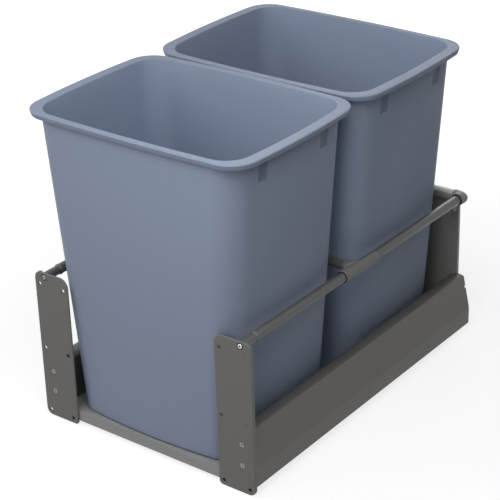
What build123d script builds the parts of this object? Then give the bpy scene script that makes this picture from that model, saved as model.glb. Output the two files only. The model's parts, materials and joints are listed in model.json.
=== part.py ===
from build123d import *
import math
import os

# A pull-out frame that carries two waste bins, at rest in the closed place.
# Millimetres. +Z is up, the door side faces -Y and +X is the right-hand side.
# The origin is on the cabinet floor, under the middle of the whole object.
# Depths are counted from the front faces of the door brackets, towards the back.

# Overall frame
FRAME_WIDTH = 365.0
FRAME_DEPTH = 540.0
FLOOR_TO_SIDE = 14.5
HALF_WIDTH = FRAME_WIDTH / 2

# Running and seating gaps
SEAT_GAP = 0.2
RUN_GAP = 0.06
SIDE_GAP = 0.5
FIT_GAP = 0.05
CUT_OVERRUN = 2.0

# Folded steel of the drawer sides
SHEET = 1.2
SIDE_WIDTH = 33.0
SIDE_BACK_SPACE = 5.5
SIDE_HEIGHT = 77.5
SIDE_SHOULDER_SPACE = 10.5
SIDE_CROWN_SPACE = 19.5
SIDE_INNER_RISE = 72.5
SIDE_SHOULDER_RISE = 71.0
SIDE_FOOT_RISE = 26.0
SIDE_HEM = 5.5
TOP_ROUND = 3.0
SHOULDER_ROUND = 4.5
KNEE_ROUND = 18.0
LEDGE_WIDTH = 13.0
END_NOTCH_RISE = 57.0
END_NOTCH_HEIGHT = 4.0
END_NOTCH_DEPTH = 2.5

# Rivets through the inner walls of the drawer sides
RIVET = 4.0
RIVET_HEAD = 6.4
RIVET_HEAD_THICK = 1.0
BLOCK_RIVET_GRIP = 6.0

# Base board and the screws that hold it down on the ledges
BASE_THICK = 16.0
BASE_DROP = 7.4
BASE_FRONT_DEPTH = 3.2
BASE_SCREW_HEAD = 7.0
BASE_SCREW_HEAD_THICK = 1.6
BASE_SCREW_SHANK = 3.6
BASE_SCREW_LENGTH = 11.0
BASE_SCREW_COUNT = 3
BASE_SCREW_END_SPACE = 60.0

# Door brackets
BRACKET_THICK = 2.5
BRACKET_WIDTH = 58.8
BRACKET_HEIGHT = 224.8
BRACKET_DROP = 13.6
BRACKET_LIP_DEPTH = 4.5
BRACKET_LIP_WALL = 2.5
BRACKET_EDGE_ROUND = 1.4
BRACKET_INNER_TOP_ROUND = 14.0
BRACKET_OUTER_TOP_ROUND = 11.0
BRACKET_INNER_FOOT_ROUND = 6.0
BRACKET_OUTER_FOOT_ROUND = 10.0
DOOR_HOLE = 5.5
DOOR_HOLE_INSET = 8.3
DOOR_HOLE_ROW_COUNT = 3
DOOR_HOLE_SPACING_X = 42.0
DOOR_HOLE_SPACING_Z = 99.0
DOOR_HOLE_FOOT = 8.7

# Fixing block inside the front of each drawer side
BLOCK_REACH = 7.5
BLOCK_DEPTH = 18.0
BLOCK_LOW = 18.0
BLOCK_HIGH = 70.0
BLOCK_ROUND = 2.0
BLOCK_WINDOW_WIDTH = 7.0
BLOCK_WINDOW_DEPTH = 9.0
FIXING_SCREW_RISE = 28.3
FIXING_SCREW_SPACING = 31.4
FIXING_SCREW_HEAD = 6.8
FIXING_SCREW_SINK = 1.7
FIXING_SCREW_DISH = 7.8
FIXING_SCREW_DISH_DEPTH = 0.4
FIXING_SCREW_SHANK = 3.8
FIXING_SCREW_LENGTH = 14.0

# Gallery rails
RAIL_SIDE_SPACE = 17.1
RAIL_RISE = 204.3
RAIL_DIAMETER = 14.0
RAIL_WALL = 1.2
RAIL_FRONT_DEPTH = 31.0
RAIL_BACK_SPACE = 12.0
FITTING_DIAMETER = 12.6
FITTING_COLLAR_DIAMETER = 15.0
FITTING_COLLAR = 3.0
FITTING_SPIGOT = 16.0
RAIL_SCREW_HEAD = 6.6
RAIL_SCREW_HEAD_THICK = 2.2
RAIL_SCREW_HEAD_ROUND = 0.7
RAIL_SCREW_RECESS = 9.4
RAIL_SCREW_RECESS_DEPTH = 1.9
RAIL_SCREW_SHANK = 4.0
RAIL_SCREW_LENGTH = 18.0
SOCKET_ACROSS = 3.0
SOCKET_DEPTH = 1.4
HEXAGON_SIDE_COUNT = 6

# Cross rail between the bins and its connectors
CONNECTOR_DIAMETER = 17.2
CONNECTOR_FRONT_REACH = 32.0
CONNECTOR_COLLAR_REACH = 11.0
CONNECTOR_TONGUE_REACH = 43.0
CONNECTOR_STUB_REACH = 17.5
CONNECTOR_TONGUE_HALF_ANGLE = 100.0
CONNECTOR_TONGUE_TURN = 20.0
CROSS_INSERTION = 7.0

# Back of the frame
BACK_RAIL_DIAMETER = 17.0
BACK_RAIL_WALL = 1.2
BACK_PANEL_FLANGE = 7.6
CORNER_DIAMETER = 18.4
CORNER_MOUTH_SPACE = 21.0
CORNER_SEAM_SPACE = 29.0
CORNER_SPIGOT = 12.0
CORNER_PLUG = 14.0
UPRIGHT_WIDTH = 10.0
UPRIGHT_FOOT_RISE = 40.0
UPRIGHT_FLANGE = 4.0
UPRIGHT_TAB_DEPTH = 22.0
UPRIGHT_TAB_HEIGHT = 26.0
PANEL_SCREW_HEAD = 6.0
PANEL_SCREW_HEAD_THICK = 1.6
PANEL_SCREW_SHANK = 3.0
PANEL_SCREW_COUNT = 2
PANEL_SCREW_END_SPACE = 14.0

# Bins
BIN_SIDE_SPACE = 0.5
BIN_BACK_SPACE = 18.0
BIN_LIP_REACH = 10.0
BIN_APART = 2.0
BIN_SIDE_BOW = 6.0
BIN_FRONT_BOW = 5.0
BIN_RIM_CORNER = 38.0
BIN_MOUTH_CORNER = 37.0
BIN_HEIGHT = 437.0
BIN_WALL = 2.6
BIN_FLOOR = 3.0
BIN_SIDE_FLANGE = 13.6
BIN_FRONT_FLANGE = 7.2
BIN_RIM_SKIRT = 8.0
BIN_RIM_ROUND = 1.6
BIN_SKIRT_WALL = 2.4
BIN_FOOT_SIDE_SPACE = 17.5
BIN_FOOT_TAPER_Y = 20.0
BIN_FOOT_SIDE_BOW = 5.0
BIN_FOOT_FRONT_BOW = 9.0
BIN_FOOT_CORNER = 38.0
BIN_FOOT_ROUND = 5.0
BIN_FLOOR_ROUND = 6.4
POCKET_TOP_SPACE = 11.5
POCKET_WIDTH = 20.0
POCKET_HEIGHT = 32.0
POCKET_DEPTH = 1.3
POCKET_ROUND = 4.0
POCKET_SPACING = 128.0

# Runners: three nested channels a side, with rollers between them
RUNNER_FRONT_DEPTH = 26.0
RUNNER_BACK_SPACE = 14.0
CHANNEL_SHEET = 1.2
CABINET_SHEET = 1.5
CABINET_CHANNEL_LOW = 5.0
CABINET_CHANNEL_HEIGHT = 44.0
LIP_HEIGHT = 1.6
ROLLER_DIAMETER = 5.0
INNER_ROLLER_LENGTH = 3.0
OUTER_ROLLER_LENGTH = 4.0
CAGE_WEB = 0.8
CAGE_ARM = 1.8
CAGE_END_SPACE = 14.0
ROLLER_ROW_LENGTH = 200.0
ROLLER_COUNT = 3
RUNNER_RIVET_COUNT = 3
RUNNER_RIVET_END_SPACE = 36.0

# Feet that carry the runners on the cabinet floor
FOOT_SHEET = 1.8
FOOT_LENGTH = 46.0
FOOT_REACH = 46.0
FOOT_HEIGHT = 40.0
FOOT_ROUND = 8.0
FOOT_FRONT_DEPTH = 60.0
FOOT_BACK_SPACE = 60.0
FLOOR_HOLE = 5.5
FLOOR_HOLE_INSET = 12.0
FOOT_SCREW_SPACING = 24.0
FOOT_SCREW_SHANK = 3.6

# Places worked out from the sizes above
FRONT_Y = -(FRAME_DEPTH - BIN_LIP_REACH) / 2
SIDE_INNER_X = HALF_WIDTH - SIDE_WIDTH
SIDE_SHOULDER_X = HALF_WIDTH - SIDE_SHOULDER_SPACE
SIDE_BACK_DEPTH = FRAME_DEPTH - SIDE_BACK_SPACE
CROWN_X = HALF_WIDTH - SIDE_CROWN_SPACE
FIXING_SCREW_X = CROWN_X
RAIL_X = HALF_WIDTH - RAIL_SIDE_SPACE
RAIL_BACK_DEPTH = FRAME_DEPTH - RAIL_BACK_SPACE
CORNER_MOUTH_DEPTH = FRAME_DEPTH - CORNER_MOUTH_SPACE
CORNER_SEAM_X = HALF_WIDTH - CORNER_SEAM_SPACE
BIN_HALF_X = HALF_WIDTH - BIN_SIDE_SPACE
BIN_HALF_Y = (FRAME_DEPTH + BIN_LIP_REACH - BIN_BACK_SPACE - BIN_APART) / 4
BIN_RIM_HALF_X = BIN_HALF_X - BIN_SIDE_BOW
BIN_RIM_HALF_Y = BIN_HALF_Y - BIN_FRONT_BOW
BIN_FOOT_HALF_X = SIDE_INNER_X - BIN_FOOT_SIDE_SPACE
BIN_FOOT_HALF_Y = BIN_RIM_HALF_Y - BIN_FOOT_TAPER_Y
SIDE_Z = FLOOR_TO_SIDE
BASE_TOP_Z = SIDE_Z - BASE_DROP + BASE_THICK
BASE_LOW_Z = SIDE_Z - BASE_DROP
RAIL_Z = SIDE_Z + RAIL_RISE
RAIL_RADIUS = RAIL_DIAMETER / 2
BRACKET_INNER_X = HALF_WIDTH - BRACKET_WIDTH
BRACKET_LOW_Z = SIDE_Z - BRACKET_DROP
BRACKET_TOP_Z = BRACKET_LOW_Z + BRACKET_HEIGHT
BIN_LOW_Z = BASE_TOP_Z + SEAT_GAP
FRONT_BIN_DEPTH = BIN_HALF_Y - BIN_LIP_REACH
REAR_BIN_DEPTH = FRONT_BIN_DEPTH + 2 * BIN_HALF_Y + BIN_APART
CROSS_DEPTH = (FRONT_BIN_DEPTH + REAR_BIN_DEPTH) / 2
CONNECTOR_FRONT_DEPTH = CROSS_DEPTH - CONNECTOR_FRONT_REACH
CONNECTOR_COLLAR_BACK = CROSS_DEPTH + CONNECTOR_COLLAR_REACH
CONNECTOR_TONGUE_BACK = CROSS_DEPTH + CONNECTOR_TONGUE_REACH
BACK_RAIL_DEPTH = FRAME_DEPTH - CORNER_DIAMETER / 2
BACK_PANEL_DEPTH = BACK_RAIL_DEPTH - SHEET / 2

# Stations across a runner, from the drawer side's inner wall outwards
WALL_OUT_X = SIDE_INNER_X + SHEET
INNER_WEB_X = WALL_OUT_X + CHANNEL_SHEET
INNER_FLANGE_X = INNER_WEB_X + SIDE_GAP + INNER_ROLLER_LENGTH + SIDE_GAP
MIDDLE_WEB_X = INNER_FLANGE_X + SIDE_GAP + CAGE_WEB + SIDE_GAP
MIDDLE_OUT_X = MIDDLE_WEB_X + CHANNEL_SHEET
CABINET_WEB_X = MIDDLE_OUT_X + SIDE_GAP + CAGE_WEB + SIDE_GAP
CABINET_OUT_X = CABINET_WEB_X + CABINET_SHEET
MIDDLE_INNER_X = INNER_WEB_X + SIDE_GAP
CABINET_INNER_X = CABINET_WEB_X - CAGE_WEB - 2 * SIDE_GAP - OUTER_ROLLER_LENGTH - SIDE_GAP

# Heights up a runner
ROLLER_SPACE = ROLLER_DIAMETER + 2 * RUN_GAP
CABINET_LOW_Z = CABINET_CHANNEL_LOW
CABINET_TOP_Z = CABINET_LOW_Z + CABINET_CHANNEL_HEIGHT
MIDDLE_LOW_Z = CABINET_LOW_Z + CABINET_SHEET + ROLLER_SPACE
MIDDLE_TOP_Z = CABINET_TOP_Z - CABINET_SHEET - ROLLER_SPACE
INNER_LOW_Z = MIDDLE_LOW_Z + CHANNEL_SHEET + ROLLER_SPACE
INNER_TOP_Z = MIDDLE_TOP_Z - CHANNEL_SHEET - ROLLER_SPACE
RUNNER_MID_Z = (INNER_LOW_Z + INNER_TOP_Z) / 2
RUNNER_BACK_DEPTH = FRAME_DEPTH - RUNNER_BACK_SPACE
RUNNER_LENGTH = RUNNER_BACK_DEPTH - RUNNER_FRONT_DEPTH
CAGE_LENGTH = RUNNER_LENGTH / 2 - CAGE_END_SPACE
CAGE_FRONT_DEPTH = RUNNER_FRONT_DEPTH + (RUNNER_LENGTH - CAGE_LENGTH) / 2
FOOT_BACK_DEPTH = RUNNER_BACK_DEPTH - FOOT_BACK_SPACE


def y_at(depth):
    """World Y of a depth behind the brackets' front faces."""
    return FRONT_Y + depth


def slice_at(depth):
    """Plane across the frame at a depth: its first axis is X and its second is Z."""
    return Plane(origin=(0, y_at(depth), 0), x_dir=(1, 0, 0), z_dir=(0, -1, 0))


def run_back(profile, front_depth, back_depth):
    """Extrude a flat profile, drawn in X and Z, from one depth to another."""
    return extrude(slice_at(front_depth) * profile, amount=back_depth - front_depth, dir=(0, 1, 0))


def rod_back(diameter, x, z, front_depth, back_depth):
    """Round bar that runs from front to back."""
    return run_back(Pos(x, z) * Circle(diameter / 2), front_depth, back_depth)


def rod_across(diameter, depth, z, start_x, end_x):
    """Round bar that runs from left to right."""
    circle = Plane(origin=(start_x, y_at(depth), z), x_dir=(0, 1, 0), z_dir=(1, 0, 0)) * Circle(diameter / 2)
    return extrude(circle, amount=end_x - start_x, dir=(1, 0, 0))


def rod_up(diameter, x, y, low_z, high_z):
    """Round bar that stands upright."""
    return extrude(Pos(x, y, low_z) * Circle(diameter / 2), amount=high_z - low_z)


def block(start_x, end_x, front_depth, back_depth, low_z, high_z):
    """Box between two corners."""
    size_x = end_x - start_x
    size_z = high_z - low_z
    middle = Pos((start_x + end_x) / 2, (low_z + high_z) / 2)
    return run_back(middle * Rectangle(size_x, size_z), front_depth, back_depth)


def spread(count, first, last):
    """Evenly spaced places from the first to the last."""
    step = (last - first) / (count - 1)
    return [first + step * number for number in range(count)]


def rounded_plate(start_x, end_x, low_z, high_z, rounds):
    """Upright plate outline. The rounds go inner foot, outer foot, outer top, inner top."""
    corners = [(start_x, low_z), (end_x, low_z), (end_x, high_z), (start_x, high_z)]
    outline = make_face(Polyline(*corners, close=True))
    for corner, radius in zip(corners, rounds):
        nearest = outline.vertices().sort_by_distance((corner[0], corner[1], 0))[0]
        outline = fillet(nearest, radius)
    return outline


def door_hole_places():
    """Six door screw holes, two columns of three, on the right-hand bracket."""
    outer_x = HALF_WIDTH - DOOR_HOLE_INSET
    low_z = BRACKET_LOW_Z + DOOR_HOLE_FOOT
    columns = [outer_x - DOOR_HOLE_SPACING_X, outer_x]
    return [(x, low_z + row * DOOR_HOLE_SPACING_Z) for x in columns for row in range(DOOR_HOLE_ROW_COUNT)]


def fixing_screw_heights():
    """Heights of the two screws that hold a bracket to the drawer side."""
    low_z = SIDE_Z + FIXING_SCREW_RISE
    return [low_z, low_z + FIXING_SCREW_SPACING]


def bracket():
    """Door bracket: a rounded plate whose outer edge and two corners turn back into a low lip."""
    rounds = [
        BRACKET_INNER_FOOT_ROUND,
        BRACKET_OUTER_FOOT_ROUND,
        BRACKET_OUTER_TOP_ROUND,
        BRACKET_INNER_TOP_ROUND,
    ]
    outline = rounded_plate(BRACKET_INNER_X, HALF_WIDTH, BRACKET_LOW_Z, BRACKET_TOP_Z, rounds)
    body = run_back(outline, 0, BRACKET_LIP_DEPTH)
    front_edges = body.faces().sort_by(Axis.Y)[0].outer_wire().edges()
    body = fillet(front_edges, BRACKET_EDGE_ROUND)
    past_lip = BRACKET_LIP_DEPTH + CUT_OVERRUN
    lip_end_x = HALF_WIDTH - BRACKET_OUTER_TOP_ROUND
    body -= run_back(offset(outline, amount=-BRACKET_LIP_WALL), BRACKET_THICK, past_lip)
    low_z = BRACKET_LOW_Z - CUT_OVERRUN
    high_z = BRACKET_TOP_Z + CUT_OVERRUN
    body -= block(BRACKET_INNER_X - CUT_OVERRUN, lip_end_x, BRACKET_THICK, past_lip, low_z, high_z)
    for x, z in door_hole_places():
        body -= rod_back(DOOR_HOLE, x, z, -CUT_OVERRUN, BRACKET_THICK + CUT_OVERRUN)
    for z in fixing_screw_heights():
        body -= fixing_screw_form(z, FIT_GAP)
        body -= rod_back(FIXING_SCREW_DISH, FIXING_SCREW_X, z, -CUT_OVERRUN, FIXING_SCREW_DISH_DEPTH)
    body -= rod_back(RAIL_SCREW_RECESS, RAIL_X, RAIL_Z, -CUT_OVERRUN, RAIL_SCREW_RECESS_DEPTH)
    body -= rod_back(RAIL_SCREW_SHANK + 2 * FIT_GAP, RAIL_X, RAIL_Z, 0, BRACKET_THICK + CUT_OVERRUN)
    return body


def fixing_screw_form(z, gap):
    """Countersunk screw, grown all round by a gap, with its head flush in the bracket."""
    head_radius = FIXING_SCREW_HEAD / 2 + gap
    shank_radius = FIXING_SCREW_SHANK / 2 + gap
    cone = Plane(origin=(FIXING_SCREW_X, y_at(0), z), x_dir=(1, 0, 0), z_dir=(0, 1, 0))
    sink = Cone(head_radius, shank_radius, FIXING_SCREW_SINK, align=(Align.CENTER, Align.CENTER, Align.MIN))
    shank = rod_back(2 * shank_radius, FIXING_SCREW_X, z, FIXING_SCREW_SINK, FIXING_SCREW_LENGTH)
    return cone * sink + shank


def hex_socket(x, z, front_depth):
    """Drive recess in a screw head."""
    hexagon = Pos(x, z) * RegularPolygon(SOCKET_ACROSS / 2, HEXAGON_SIDE_COUNT)
    return run_back(hexagon, front_depth - CUT_OVERRUN, front_depth + SOCKET_DEPTH)


def fixing_screws():
    """The two countersunk screws of one bracket."""
    screws = [fixing_screw_form(z, 0) - hex_socket(FIXING_SCREW_X, z, 0) for z in fixing_screw_heights()]
    return screws


def rail_screw():
    """Button-head screw that draws the rail fitting against the bracket."""
    head_front = RAIL_SCREW_RECESS_DEPTH - RAIL_SCREW_HEAD_THICK
    head = rod_back(RAIL_SCREW_HEAD, RAIL_X, RAIL_Z, head_front, RAIL_SCREW_RECESS_DEPTH)
    front_edge = head.edges().filter_by(GeomType.CIRCLE).sort_by(Axis.Y)[0]
    head = fillet(front_edge, RAIL_SCREW_HEAD_ROUND)
    shank = rod_back(RAIL_SCREW_SHANK, RAIL_X, RAIL_Z, RAIL_SCREW_RECESS_DEPTH, RAIL_SCREW_LENGTH)
    return head + shank - hex_socket(RAIL_X, RAIL_Z, head_front)


def side_outline():
    """Closed section of a drawer side: upright inner wall, crowned top, flared outer wall."""
    inner_top = (SIDE_INNER_X, SIDE_Z + SIDE_INNER_RISE)
    crown = (CROWN_X, SIDE_Z + SIDE_HEIGHT)
    shoulder = (SIDE_SHOULDER_X, SIDE_Z + SIDE_SHOULDER_RISE + SHOULDER_ROUND)
    knee = (HALF_WIDTH, SIDE_Z + SIDE_FOOT_RISE)
    foot = (HALF_WIDTH, SIDE_Z)
    inner_foot = (SIDE_INNER_X, SIDE_Z)
    top = ThreePointArc(inner_top, crown, shoulder)
    rest = Polyline(shoulder, knee, foot, inner_foot, inner_top)
    outline = make_face(top + rest)
    corners = [(inner_top, TOP_ROUND), (shoulder, SHOULDER_ROUND), (knee, KNEE_ROUND)]
    for corner, radius in corners:
        nearest = outline.vertices().sort_by_distance((corner[0], corner[1], 0))[0]
        outline = fillet(nearest, radius)
    return outline


def drawer_side():
    """Hollow drawer side, open underneath, with the ledge that carries the base board."""
    outer = side_outline()
    inner = offset(outer, amount=-SHEET)
    wall = outer - inner
    mouth_start = SIDE_INNER_X + SHEET
    mouth_end = HALF_WIDTH - SIDE_HEM
    mouth = Pos((mouth_start + mouth_end) / 2, SIDE_Z) * Rectangle(mouth_end - mouth_start, 2 * CUT_OVERRUN)
    ledge_top = BASE_LOW_Z
    drop = SIDE_Z - ledge_top + SHEET
    skirt = Pos(SIDE_INNER_X + SHEET / 2, SIDE_Z - drop / 2) * Rectangle(SHEET, drop)
    ledge_mid = SIDE_INNER_X + SHEET - LEDGE_WIDTH / 2
    ledge = Pos(ledge_mid, ledge_top - SHEET / 2) * Rectangle(LEDGE_WIDTH, SHEET)
    section = wall - mouth + skirt + ledge
    body = run_back(section, BRACKET_THICK, SIDE_BACK_DEPTH)
    lip_x = HALF_WIDTH - BRACKET_LIP_WALL - SIDE_GAP
    lip_back = BRACKET_LIP_DEPTH + SEAT_GAP
    under_side = SIDE_Z - CUT_OVERRUN
    above_side = SIDE_Z + SIDE_HEIGHT + CUT_OVERRUN
    body -= block(lip_x, HALF_WIDTH + CUT_OVERRUN, 0, lip_back, under_side, above_side)
    notch_low = SIDE_Z + END_NOTCH_RISE
    body -= block(
        CROWN_X,
        HALF_WIDTH,
        SIDE_BACK_DEPTH - END_NOTCH_DEPTH,
        SIDE_BACK_DEPTH + CUT_OVERRUN,
        notch_low,
        notch_low + END_NOTCH_HEIGHT,
    )
    for depth, z in channel_rivet_places() + block_rivet_places() + tab_rivet_places():
        body -= rod_across(RIVET, depth, z, SIDE_INNER_X - CUT_OVERRUN, WALL_OUT_X + CUT_OVERRUN)
    for depth in base_screw_depths():
        y = y_at(depth)
        body -= rod_up(BASE_SCREW_SHANK, base_screw_x(), y, BASE_LOW_Z - SHEET - CUT_OVERRUN, BASE_LOW_Z)
    return body


def fixing_block():
    """Cast block inside the front of a drawer side, threaded for the bracket screws."""
    start_x = WALL_OUT_X + FIT_GAP
    end_x = FIXING_SCREW_X + BLOCK_REACH
    low_z = SIDE_Z + BLOCK_LOW
    high_z = SIDE_Z + BLOCK_HIGH
    back_depth = BRACKET_THICK + BLOCK_DEPTH
    body = block(start_x, end_x, BRACKET_THICK, back_depth, low_z, high_z)
    body = fillet(body.edges().filter_by(Axis.Y), BLOCK_ROUND)
    window_x = BLOCK_WINDOW_WIDTH / 2
    window_front = back_depth - BLOCK_WINDOW_DEPTH
    heights = fixing_screw_heights()
    window_low = heights[0] + FIXING_SCREW_HEAD
    window_high = heights[1] - FIXING_SCREW_HEAD
    body -= block(
        FIXING_SCREW_X - window_x,
        FIXING_SCREW_X + window_x,
        window_front,
        back_depth + CUT_OVERRUN,
        window_low,
        window_high,
    )
    for z in heights:
        body -= rod_back(FIXING_SCREW_SHANK, FIXING_SCREW_X, z, 0, FIXING_SCREW_LENGTH)
    for depth, z in block_rivet_places():
        body -= rod_across(RIVET, depth, z, WALL_OUT_X, WALL_OUT_X + BLOCK_RIVET_GRIP)
    return body


def block_rivet_places():
    """Depth and height of the rivets that hold a fixing block inside a drawer side."""
    return [(BRACKET_THICK + BLOCK_DEPTH / 2, z) for z in fixing_screw_heights()]


def channel_rivet_places():
    """Depth and height of the rivets that hold a drawer channel to a drawer side."""
    first = RUNNER_FRONT_DEPTH + RUNNER_RIVET_END_SPACE
    last = RUNNER_BACK_DEPTH - RUNNER_RIVET_END_SPACE
    return [(depth, RUNNER_MID_Z) for depth in spread(RUNNER_RIVET_COUNT, first, last)]


def tab_rivet_places():
    """Depth and height of the rivets through the tab of a back upright."""
    depth = SIDE_BACK_DEPTH - UPRIGHT_TAB_DEPTH / 2
    quarter = UPRIGHT_TAB_HEIGHT / 4
    return [(depth, upright_low_z() + quarter), (depth, upright_low_z() + 3 * quarter)]


def rivet(depth, z, grip_end_x, tail):
    """Rivet from inside the frame to the far face of what it holds, with or without a tail."""
    head = rod_across(RIVET_HEAD, depth, z, SIDE_INNER_X - RIVET_HEAD_THICK, SIDE_INNER_X)
    body = head + rod_across(RIVET, depth, z, SIDE_INNER_X, grip_end_x)
    if tail:
        body += rod_across(RIVET_HEAD, depth, z, grip_end_x, grip_end_x + RIVET_HEAD_THICK)
    return body


def channel_rivets():
    """Rivets through a drawer side and its drawer channel."""
    return [rivet(depth, z, INNER_WEB_X, True) for depth, z in channel_rivet_places()]


def side_rivets():
    """Rivets that hold the fixing block and the back upright to a drawer side."""
    into_block = [rivet(depth, z, WALL_OUT_X + BLOCK_RIVET_GRIP, False) for depth, z in block_rivet_places()]
    through_tab = [rivet(depth, z, WALL_OUT_X + SHEET, True) for depth, z in tab_rivet_places()]
    return into_block + through_tab


def base_screw_depths():
    """Depths of the base board's screws on one ledge."""
    last = BACK_PANEL_DEPTH - BASE_SCREW_END_SPACE
    return spread(BASE_SCREW_COUNT, BASE_SCREW_END_SPACE, last)


def base_screw_x():
    """Middle of the ledge that the base board rests on."""
    return SIDE_INNER_X - (LEDGE_WIDTH - SHEET) / 2


def base_board():
    """Board that the bins stand on."""
    half = SIDE_INNER_X - SEAT_GAP
    body = block(-half, half, BASE_FRONT_DEPTH, BACK_PANEL_DEPTH - SEAT_GAP, BASE_LOW_Z, BASE_TOP_Z)
    for depth in base_screw_depths():
        for x in (-base_screw_x(), base_screw_x()):
            tip = BASE_LOW_Z - SHEET + BASE_SCREW_LENGTH
            body -= rod_up(BASE_SCREW_SHANK, x, y_at(depth), BASE_LOW_Z - CUT_OVERRUN, tip)
    return body


def base_screws():
    """Screws up through both ledges into the base board."""
    screws = []
    for side in (-1, 1):
        for depth in base_screw_depths():
            x = side * base_screw_x()
            under = BASE_LOW_Z - SHEET
            head = rod_up(BASE_SCREW_HEAD, x, y_at(depth), under - BASE_SCREW_HEAD_THICK, under)
            shank = rod_up(BASE_SCREW_SHANK, x, y_at(depth), under, under + BASE_SCREW_LENGTH)
            screws.append(head + shank)
    return screws


def rail():
    """Gallery rail tube along one side."""
    tube = Circle(RAIL_RADIUS) - Circle(RAIL_RADIUS - RAIL_WALL)
    return run_back(Pos(RAIL_X, RAIL_Z) * tube, RAIL_FRONT_DEPTH, RAIL_BACK_DEPTH)


def rail_front_fitting():
    """Turned fitting between the bracket and the rail, with a spigot inside the tube."""
    spigot = RAIL_DIAMETER - 2 * RAIL_WALL - 2 * FIT_GAP
    collar_front = RAIL_FRONT_DEPTH - FITTING_COLLAR
    shaft = rod_back(FITTING_DIAMETER, RAIL_X, RAIL_Z, BRACKET_THICK, collar_front)
    collar = rod_back(FITTING_COLLAR_DIAMETER, RAIL_X, RAIL_Z, collar_front, RAIL_FRONT_DEPTH)
    nose = collar.edges().filter_by(GeomType.CIRCLE).sort_by(Axis.Y)[0]
    collar = chamfer(nose, (FITTING_COLLAR_DIAMETER - FITTING_DIAMETER) / 2 - FIT_GAP)
    inside = rod_back(spigot, RAIL_X, RAIL_Z, RAIL_FRONT_DEPTH, RAIL_FRONT_DEPTH + FITTING_SPIGOT)
    tip = inside.edges().filter_by(GeomType.CIRCLE).sort_by(Axis.Y)[-1]
    inside = chamfer(tip, RAIL_WALL)
    bore = rod_back(RAIL_SCREW_SHANK, RAIL_X, RAIL_Z, 0, RAIL_SCREW_LENGTH)
    return shaft + collar + inside - bore


def connector():
    """Tee on the rail: a full collar, a stub for the cross rail and a half-round tongue."""
    collar = rod_back(CONNECTOR_DIAMETER, RAIL_X, RAIL_Z, CONNECTOR_FRONT_DEPTH, CONNECTOR_COLLAR_BACK)
    stub_end = RAIL_X - CONNECTOR_STUB_REACH
    stub = rod_across(CONNECTOR_DIAMETER, CROSS_DEPTH, RAIL_Z, stub_end, RAIL_X)
    body = collar + stub
    rims = body.edges().filter_by(GeomType.CIRCLE)
    mouth_rims = [rims.sort_by(Axis.Y)[0], rims.sort_by(Axis.X)[0]]
    body = chamfer(mouth_rims, RAIL_WALL / 2)
    half_angle = math.radians(CONNECTOR_TONGUE_HALF_ANGLE)
    turn = math.radians(-CONNECTOR_TONGUE_TURN)
    reach = CONNECTOR_DIAMETER
    ends = [(reach * math.cos(turn + a), reach * math.sin(turn + a)) for a in (-half_angle, 0, half_angle)]
    wedge = make_face(Polyline((0, 0), *ends, close=True))
    sector = Circle(CONNECTOR_DIAMETER / 2) & wedge
    tongue = run_back(Pos(RAIL_X, RAIL_Z) * sector, CONNECTOR_COLLAR_BACK, CONNECTOR_TONGUE_BACK)
    body += tongue
    bore = RAIL_DIAMETER + 2 * FIT_GAP
    bore_front = CONNECTOR_FRONT_DEPTH - CUT_OVERRUN
    bore_back = CONNECTOR_TONGUE_BACK + CUT_OVERRUN
    body -= rod_back(bore, RAIL_X, RAIL_Z, bore_front, bore_back)
    body -= rod_across(bore, CROSS_DEPTH, RAIL_Z, stub_end - CUT_OVERRUN, stub_end + CROSS_INSERTION)
    return body


def cross_rail():
    """Rail across the frame, between the two bins."""
    half = RAIL_X - CONNECTOR_STUB_REACH + CROSS_INSERTION - SEAT_GAP
    past_end = half + CUT_OVERRUN
    tube = rod_across(RAIL_DIAMETER, CROSS_DEPTH, RAIL_Z, -half, half)
    bore = rod_across(RAIL_DIAMETER - 2 * RAIL_WALL, CROSS_DEPTH, RAIL_Z, -past_end, past_end)
    return tube - bore


def back_rail():
    """Tube along the top of the back panel, slit underneath to take the panel's edge."""
    tube = rod_across(BACK_RAIL_DIAMETER, BACK_RAIL_DEPTH, RAIL_Z, -CORNER_SEAM_X, CORNER_SEAM_X)
    bore_diameter = BACK_RAIL_DIAMETER - 2 * BACK_RAIL_WALL
    past_end = CORNER_SEAM_X + CUT_OVERRUN
    bore = rod_across(bore_diameter, BACK_RAIL_DEPTH, RAIL_Z, -past_end, past_end)
    slit = block(
        -past_end,
        past_end,
        BACK_PANEL_DEPTH - FIT_GAP,
        BACK_PANEL_DEPTH + SHEET + FIT_GAP,
        RAIL_Z - BACK_RAIL_DIAMETER,
        RAIL_Z,
    )
    return tube - bore - slit


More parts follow.
